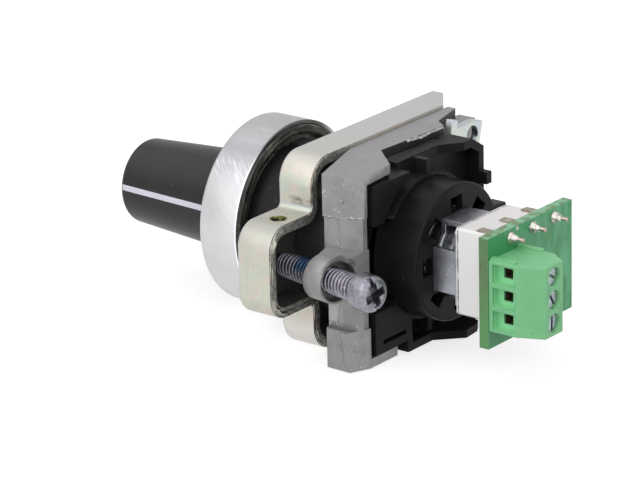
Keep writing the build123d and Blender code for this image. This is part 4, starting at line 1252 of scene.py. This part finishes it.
@dataclass(frozen=True)
class Ridge:
    """An uneven ridge of thrown-up metal. Sizes in millimetres."""

    width: Span
    height: Span
    step: float
    root: float = 0.1
    wander: float = 0.05

    def lay(
        self, mesh: bmesh.types.BMesh, line: Sequence[Vector], out: Vector, chance: random.Random
    ) -> None:
        """Lays the ridge along a line.

        Args:
            mesh: working mesh that receives it.
            line: points on the skin that it grows from.
            out: rough way out of the skin.
            chance: source of the unevenness.
        """
        lengths = [(end - begin).length for begin, end in zip(line, line[1:])]
        count = max(3, round(sum(lengths) / self.step))
        rows = []
        for number in range(count + 1):
            left = sum(lengths) * number / count
            part = 0
            while part < len(lengths) - 1 and left > lengths[part]:
                left -= lengths[part]
                part += 1
            along = (line[part + 1] - line[part]).normalized()
            beside = along.cross(out).normalized()
            centre = line[part] + along * left + beside * chance.uniform(-self.wander, self.wander)
            half = chance.uniform(*self.width)
            crest = centre + out * chance.uniform(*self.height)
            foot = centre - out * self.root
            section = (foot + beside * half, crest, foot - beside * half)
            rows.append([mesh.verts.new(place) for place in section])
        join(mesh, rows)
        mesh.faces.new(rows[0])
        mesh.faces.new(rows[-1])


class ControlHead(SubAssembly):
    """Bezel, gasket, barrel and seal, which stay fixed in the panel."""

    coats = {
        "bezel_ring": ("satin_chrome", 0.12),
        "panel_gasket": ("gasket_rubber", 0.0),
        "head_body": ("head_plastic", 0.12),
        "spindle_seal": ("seal_rubber", 0.0),
    }


class ControlKnob(SubAssembly):
    """Knob with its line, the spindle and its clip."""

    coats = {
        "knob": ("knob_plastic", 0.0),
        "pointer_line": ("pointer_paint", 0.0),
        "spindle": ("turned_steel", 0.0),
        "shaft_clip": ("spring_steel", 0.0),
    }


@dataclass
class ClampingCollar(SubAssembly):
    """Clamp plate, cast frame, lock ring and the tilted clamp screw. Sizes in millimetres."""

    coats = {
        "clamp_plate": ("passivated_sheet", 0.18),
        "collar_frame": ("cast_zinc", 0.16),
        "lock_ring": ("bright_zinc", 0.12),
    }
    screw_radius: float = 2.0
    thread_pitch: float = 0.7
    thread_depth: float = 0.42
    screw_tilt: float = 10.0
    screw_x: float = 20.0
    screw_y: float = 22.0
    tip_y: float = 10.9
    tip_length: float = 1.2
    tip_radius: float = 1.4
    tip_chamfer: float = 0.3
    screw_edge: float = 0.07
    ring_steps: int = 48
    rings_per_turn: int = 12
    flash_seed: int = 5
    plate_rear_y: float = 14.4
    plate_near_x: float = 14.5
    plate_top: float = 15.0
    plate_corner: float = 4.2
    plate_inner: float = 0.8
    ear_end_x: float = 24.5
    ear_top: float = 7.1
    ear_corner: float = 3.6
    rim_steps: int = 12

    def add_pieces(self) -> None:
        """Adds the screw, the casting's flash and the plate's burrs."""
        self.add(self.threaded_screw(), Body.CLAMP_SCREW, "blue_zinc", "screw", ["clamp_screw"])
        self.add(self.casting_flash(), Body.BASE, "torn_flash", "frame")
        self.add(self.rim_burrs(), Body.CLAMP, "crushed_rim", "plate")

    @property
    def screw_axis(self) -> Vector:
        """The way from the screw's tip to its head."""
        tilt = math.radians(self.screw_tilt)
        return Vector((math.sin(tilt), math.cos(tilt), 0.0))

    @property
    def screw_tip(self) -> Vector:
        """The point of the axis at the screw's front end."""
        lean = math.tan(math.radians(self.screw_tilt))
        return Vector((self.screw_x + (self.tip_y - self.screw_y) * lean, self.tip_y, 0.0))

    def thread_radius(self, along: float, turn_share: float) -> float:
        """Radius of the thread's surface.

        Args:
            along: way along the axis from the thread's start.
            turn_share: way round, in turns.

        Returns:
            The radius there, with a flattened crest, a rounded root and a run-in of one turn.
        """
        phase = (along / self.thread_pitch - turn_share) % 1.0
        rise = min(1.0, 1.25 * (1.0 - abs(2.0 * phase - 1.0)))
        rounded = rise * rise * (3.0 - 2.0 * rise)
        over = self.screw_radius - self.thread_depth * (1.0 - rounded) - self.tip_radius
        return self.tip_radius + over * (0.35 + 0.65 * min(1.0, along / self.thread_pitch))

    def threaded_screw(self) -> bpy.types.Object:
        """Cuts a real helix on the shank and keeps the frame's own slotted head.

        Returns:
            The screw.
        """
        axis = self.screw_axis
        tip = self.screw_tip
        start = tip + axis * self.tip_length
        mesh = mesh_of("clamp_screw")
        length = self.head_start(mesh) - self.tip_length
        shank = [v for v in mesh.verts if (v.co - start).dot(axis) < length - 0.01]
        bmesh.ops.delete(mesh, geom=shank, context="VERTS")
        bmesh.ops.remove_doubles(mesh, verts=mesh.verts, dist=0.002)
        count = round(length / self.thread_pitch * self.rings_per_turn)
        shares = [step / self.ring_steps for step in range(self.ring_steps)]
        rings = []
        for number in range(count + 1):
            along = length * number / count
            radii = [self.thread_radius(along, share) for share in shares]
            rings.append(ring(mesh, start + axis * along, axis, radii))
        join(mesh, rings)
        shoulder = self.tip_radius - self.tip_chamfer
        point = [(0.0, 0.0), (shoulder, 0.0), (self.tip_radius, self.tip_chamfer)]
        turn(mesh, [*point, (self.tip_radius, self.tip_length + 0.1)], tip, axis, self.ring_steps)
        screw = piece_from("clamp_screw_threaded", mesh)
        break_edges(screw, self.screw_edge, 50)
        return screw

    def head_start(self, mesh: bmesh.types.BMesh) -> float:
        """Finds the head's underside.

        Args:
            mesh: the frame's own screw.

        Returns:
            How far it lies from the tip along the axis.
        """
        places = [vert.co - self.screw_tip for vert in mesh.verts]
        heights = [place.dot(self.screw_axis) for place in places]
        wide = self.screw_radius + 0.2
        return min(h for p, h in zip(places, heights) if (p - self.screw_axis * h).length > wide)

    def casting_flash(self) -> bpy.types.Object:
        """Thin uneven ridges where the die halves met, and torn flash on the far rear edge.

        Returns:
            The ridges as one piece.
        """
        near = Vector((1.0, 0.25, 0.0)).normalized()
        behind = Vector((0.1, 1.0, -0.25)).normalized()
        fine = Ridge((0.05, 0.12), (0.02, 0.12), 0.22)
        torn = Ridge((0.16, 0.28), (0.08, 0.34), 0.62)
        curl = Ridge((0.24, 0.34), (0.22, 0.36), 0.64)
        chips = Ridge((0.06, 0.22), (-0.08, 0.20), 0.24, wander=0.12)
        lip = Ridge((0.12, 0.20), (0.08, 0.22), 0.35, wander=0.03)
        seams = (
            (near, lip, ((16.9, 18.5, 8.2), (16.22, 21.7, 8.12), (15.1, 24.3, 8.3))),
            (near, chips, ((16.22, 21.7, 8.5), (16.22, 21.7, 14.0))),
            (near, fine, ((15.9, 22.5, 13.4), (15.45, 24.0, 13.2))),
            (near, fine, ((15.75, 23.0, 13.0), (15.65, 23.3, 9.6), (15.3, 24.4, 9.7))),
            (near, chips, ((16.8, 18.9, 12.6), (16.8, 19.1, 10.9))),
            (near, chips, ((16.7, 19.6, 9.4), (16.3, 21.2, 9.0))),
            (near, chips, ((17.45, 21.3, -11.0), (17.49, 21.5, -12.3))),
            (near, chips, ((17.4, 19.4, -13.2), (17.42, 19.9, -13.5))),
            (near, fine, ((16.6, 23.6, -10.2), (16.1, 24.0, -12.6))),
            (near, fine, ((17.4, 19.3, -8.95), (17.5, 23.2, -8.95), (14.6, 24.6, -8.95))),
            (near, chips, ((16.3, 20.5, 7.9), (16.3, 20.4, 6.0), (16.3, 19.9, 4.2))),
            (near, fine, ((16.3, 20.4, -8.6), (16.3, 20.9, -3.9))),
            (near, chips, ((17.4, 22.8, -9.2), (17.3, 23.6, -11.6))),
            (near, chips, ((17.4, 20.2, -9.05), (17.35, 23.0, -9.05))),
            (near, fine, ((17.47, 21.6, -9.2), (17.49, 22.3, -14.3))),
            (behind, torn, ((-2.6, 19.22, 14.28), (-5.2, 19.33, 14.28))),
            (behind, curl, ((-5.2, 19.3, 14.16), (-7.1, 19.4, 14.16))),
            (behind, torn, ((-7.1, 19.42, 14.28), (-9.2, 19.5, 14.28))),
            (behind, torn, ((-9.2, 19.5, 14.3), (-11.3, 19.6, 14.3), (-12.6, 17.8, 14.2))),
        )
        chance = random.Random(self.flash_seed)
        casting = mesh_of("collar_frame")
        skin = BVHTree.FromBMesh(casting)
        casting.free()
        mesh = bmesh.new()
        for out, ridge, places in seams:
            ridge.lay(mesh, [skin.find_nearest(place)[0] for place in places], out, chance)
        return piece_from("frame_flash_lines", mesh, smooth=False)

    def plate_rim(self, inset: float) -> list[Vector]:
        """Follows the tray's rear rim round the ear.

        Args:
            inset: how far inside the tray's outline the line runs.

        Returns:
            Points from the tray's top to its underside: three arcs above and three below.
        """
        plate = (self.plate_near_x - self.plate_corner, self.plate_top - self.plate_corner)
        inner = (self.plate_near_x + self.plate_inner, self.ear_top + self.plate_inner)
        ear = (self.ear_end_x - self.ear_corner, self.ear_top - self.ear_corner)
        rim = []
        for (x, z), radius, begin, end in (
            (plate, self.plate_corner - inset, 90, 0),
            (inner, self.plate_inner + inset, 180, 270),
            (ear, self.ear_corner - inset, 90, 0),
        ):
            for step in range(self.rim_steps + 1):
                angle = math.radians(begin + (end - begin) * step / self.rim_steps)
                place = (x + radius * math.cos(angle), self.plate_rear_y, z + radius * math.sin(angle))
                rim.append(Vector(place))
        return rim + [Vector((place.x, place.y, -place.z)) for place in reversed(rim)]

    def rim_burrs(self) -> bpy.types.Object:
        """Crushed and scalloped metal where the tray's rim was sheared and bent.

        Returns:
            The burrs as one piece.
        """
        crushed = Ridge((0.14, 0.21), (0.00, 0.16), 0.9)
        scalloped = Ridge((0.16, 0.36), (-0.06, 0.13), 1.2)
        coarse = Ridge((0.34, 0.54), (0.02, 0.50), 0.75, wander=0.20)
        corner = self.plate_rim(0.8)
        arc = self.rim_steps + 1
        lines = (
            (crushed, self.plate_rim(0.26)),
            (scalloped, self.plate_rim(0.72)),
            (coarse, corner[2 * arc:3 * arc]),
            (coarse, corner[3 * arc:4 * arc]),
        )
        chance = random.Random(self.flash_seed + 1)
        mesh = bmesh.new()
        for ridge, line in lines:
            ridge.lay(mesh, line, Vector((0.0, 1.0, 0.0)), chance)
        return piece_from("plate_rim_burrs", mesh, smooth=False)


class RearCarrier(SubAssembly):
    """The black housing behind the collar and the drum in it."""

    coats = {"carrier_housing": ("carrier_plastic", 0.15), "pot_drum": ("drum_plastic", 0.12)}


class PotentiometerUnit(SubAssembly):
    """The potentiometer itself, from the outside in."""

    coats = {
        "pot_cover": ("folded_steel", 0.12),
        "pot_end_plate": ("folded_steel", 0.06),
        "pot_rivets": ("rivet_steel", 0.0),
        "pot_case": ("case_plastic", 0.15),
        "pot_bushing": ("flange_metal", 0.08),
        "lock_washer": ("nickel", 0.08),
        "pot_nut": ("nickel", 0.08),
        "pot_pins": ("tinned_pin", 0.05),
        "resistive_element": ("track_ink", 0.0),
        "rotor": ("rotor_plastic", 0.08),
        "wiper": ("spring_bronze", 0.04),
    }


@dataclass
class WiringBoard(SubAssembly):
    """Circuit board, solder joints and the three-pole screw terminal. Sizes in millimetres."""

    coats = {
        "circuit_board": ("green_laminate", 0.0),
        "terminal_block": ("terminal_plastic", 0.13),
        "contact_bars": ("tinned_pin", 0.0),
        **{f"terminal_cage_{pole}": ("plated_cage", 0.04) for pole in POLES},
        **{f"terminal_screw_{pole}": ("plated_screw", 0.05) for pole in POLES},
    }
    pin_places: tuple[float, ...] = (5.33, -0.20, -5.73)
    pin_radius: float = 0.3
    pin_cone: Span = (0.98, 1.25)
    leg_heights: tuple[float, ...] = (2.68, -0.82, -4.32)
    leg_inset: float = 0.45
    leg_radius: float = 0.47
    leg_cone: Span = (0.75, 0.4)
    cone_steps: int = 10
    hole_ring_x: float = 3.7
    hole_ring_z: float = 7.35
    hole_ring_radius: float = 0.32
    hole_radius: float = 0.15
    lump_size: float = 0.55
    lump_height: float = 0.16
    lump_shift: Point = (9.3, 1.5, 7.9)

    def add_pieces(self) -> None:
        """Adds the solder joints and the plated hole."""
        self.add(self.solder_joints(), Body.BASE, "solder", "solder", ["solder_joints"])
        self.add(self.plated_hole(), Body.BASE, "solder", "solder")

    def solder_joints(self) -> bpy.types.Object:
        """Makes the hollow-sided solder cones.

        Returns:
            All six joints as one piece.
        """
        front, rear = (corner.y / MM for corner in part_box("circuit_board"))
        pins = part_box("pot_pins")
        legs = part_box("contact_bars")
        mesh = bmesh.new()
        for x in self.pin_places:
            foot = Vector((x, rear, (pins[0].z + pins[1].z) / 2 / MM))
            turn(mesh, self.cone(*self.pin_cone, self.pin_radius), foot, Vector((0, 1, 0)))
        for z in self.leg_heights:
            foot = Vector((legs[0].x / MM + self.leg_inset, front, z))
            turn(mesh, self.cone(*self.leg_cone, self.leg_radius), foot, Vector((0, -1, 0)))
        for vert in mesh.verts:
            place = vert.co / self.lump_size
            sideways = noise.noise(place) * self.lump_height
            upward = noise.noise(place + Vector(self.lump_shift)) * self.lump_height
            vert.co += Vector((sideways, 0.0, upward))
        return piece_from("solder_cones", mesh)

    def cone(self, radius: float, height: float, pin_radius: float) -> list[Span]:
        """Profile of wetted solder: steep at the pin and flat at the pad.

        Args:
            radius: radius on the board.
            height: height up the pin.
            pin_radius: radius of the pin inside it.

        Returns:
            (radius, height) pairs from the board up.
        """
        neck = pin_radius + 0.06
        wall = pin_radius + 0.01
        shares = [step / self.cone_steps for step in range(self.cone_steps + 1)]
        side = [(neck + (radius - neck) * (1 - share ** 0.75) ** 0.95, share * height) for share in shares]
        return [(wall, 0.0), *side, (wall, height)]

    def plated_hole(self) -> bpy.types.Object:
        """Makes the small plated ring beside the first pin.

        Returns:
            The ring.
        """
        foot = Vector((self.hole_ring_x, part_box("circuit_board")[1].y / MM, self.hole_ring_z))
        inner = [(self.hole_radius, -0.1), (self.hole_radius, 0.05), (self.hole_radius + 0.05, 0.08)]
        radius = self.hole_ring_radius
        mesh = bmesh.new()
        outer = [(radius - 0.05, 0.06), (radius, 0.0), (radius, -0.1)]
        turn(mesh, [*inner, *outer], foot, Vector((0, 1, 0)), 32)
        return piece_from("plated_hole_ring", mesh)


@dataclass
class Studio:
    """Pale floor, soft light and the camera. Distances in millimetres, angles in degrees.

    A softbox has a name, a place, a side and a power in watts.
    """

    azimuth: float = 128.095
    elevation: float = 19.458
    roll: float = -1.299
    distance: float = 584.37
    aim: Point = (-5.857, 0.0, -5.905)
    lens: float = 214.82
    sensor: float = 36.0
    clip: Span = (10.0, 20000.0)
    floor_half: float = 3000.0
    floor_drop: float = 0.05
    floor_shade: float = 0.42
    floor_glow: float = 0.72
    world_strength: float = 0.55
    mirrored_strength: float = 0.85
    softboxes: tuple[tuple[str, Point, float, float], ...] = (
        ("key_softbox", (210, -260, 560), 960, 2.2),
        ("near_softbox", (640, 120, 380), 960, 3.0),
        ("rear_softbox", (60, 660, 420), 900, 2.3),
    )
    lamp_aim: Point = (0, 15, 0)

    def build(self) -> None:
        """Sets up the colour view, world, floor, lamps and camera."""
        bpy.context.scene.view_settings.view_transform = "Standard"
        self.world()
        self.floor()
        for softbox in self.softboxes:
            self.lamp(*softbox)
        self.camera()

    def world(self) -> None:
        """A soft white surround, at full white where it is seen, and brighter where it is mirrored."""
        world = bpy.data.worlds.new("white_surround")
        world.use_nodes = True
        tree = Tree(world.node_tree)
        path = tree.node("ShaderNodeLightPath")
        seen = tree.math("MAXIMUM", path.outputs["Is Camera Ray"], path.outputs["Is Transmission Ray"])
        strength = tree.ramp(seen, 0.0, 1.0, self.world_strength, 1.0)
        mirrored = tree.product(path.outputs["Is Glossy Ray"], self.mirrored_strength)
        background = world.node_tree.nodes["Background"]
        tree.feed(background.inputs["Strength"], tree.math("MAXIMUM", strength, mirrored))
        tree.feed(background.inputs["Color"], EVEN)
        bpy.context.scene.world = world

    def floor(self) -> None:
        """A matte white sheet under the part, lit up to white for the camera but still shaded."""
        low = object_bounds()[0].z / MM - self.floor_drop
        mesh = bmesh.new()
        bmesh.ops.create_grid(mesh, x_segments=4, y_segments=4, size=self.floor_half)
        for vert in mesh.verts:
            vert.co.z = low
        sheet = piece_from("studio_floor", mesh)
        paper = bpy.data.materials.new("studio_paper")
        paper.use_nodes = True
        tree = Tree(paper.node_tree)
        path = tree.node("ShaderNodeLightPath")
        seen = tree.math("MAXIMUM", path.outputs["Is Camera Ray"], path.outputs["Is Glossy Ray"])
        seen = tree.math("MAXIMUM", seen, path.outputs["Is Transmission Ray"])
        for name, value in (
            ("Base Color", (self.floor_shade,) * 3),
            ("Roughness", 0.9),
            ("Specular IOR Level", 0.1),
            ("Emission Color", EVEN),
            ("Emission Strength", tree.product(seen, self.floor_glow)),
        ):
            tree.feed(paper.node_tree.nodes["Principled BSDF"].inputs[name], value)
        sheet.data.materials.append(paper)
        sheet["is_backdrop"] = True

    def lamp(self, name: str, place: Point, size: float, watts: float) -> None:
        """Hangs one square softbox that faces the part.

        Args:
            name: the lamp's name.
            place: where it hangs.
            size: its side.
            watts: its power.
        """
        data = bpy.data.lights.new(name, "AREA")
        data.shape = "SQUARE"
        data.size = size * MM
        data.energy = watts
        lamp = bpy.data.objects.new(name, data)
        lamp.location = Vector(place) * MM
        lamp.rotation_mode = "QUATERNION"
        lamp.rotation_quaternion = (Vector(self.lamp_aim) - Vector(place)).to_track_quat("-Z", "Y")
        bpy.context.scene.collection.objects.link(lamp)

    def camera(self) -> None:
        """Places the camera at the photograph's viewing angle."""
        turned, raised, rolled = (math.radians(angle) for angle in (self.azimuth, self.elevation, self.roll))
        level_part = math.cos(raised)
        back = Vector((math.sin(turned) * level_part, -math.cos(turned) * level_part, math.sin(raised)))
        level = Vector((math.cos(turned), math.sin(turned), 0.0))
        upright = back.cross(level)
        right = level * math.cos(rolled) + upright * math.sin(rolled)
        up = back.cross(right)
        data = bpy.data.cameras.new("studio_camera")
        data.sensor_width = self.sensor
        data.lens = self.lens
        data.clip_start, data.clip_end = (distance * MM for distance in self.clip)
        camera = bpy.data.objects.new("studio_camera", data)
        place = (Vector(self.aim) + back * self.distance) * MM
        camera.matrix_world = Matrix.Translation(place) @ Matrix((right, up, back)).transposed().to_4x4()
        bpy.context.scene.collection.objects.link(camera)
        bpy.context.scene.camera = camera


def main() -> None:
    """Builds the studio and every sub-assembly."""
    logging.basicConfig(level=logging.INFO, format="%(name)s: %(message)s")
    Studio().build()
    shelf = Shelf()
    for kind in (ControlHead, ControlKnob, ClampingCollar, RearCarrier, PotentiometerUnit, WiringBoard):
        kind(shelf).build()


if __name__ == "__main__":
    main()
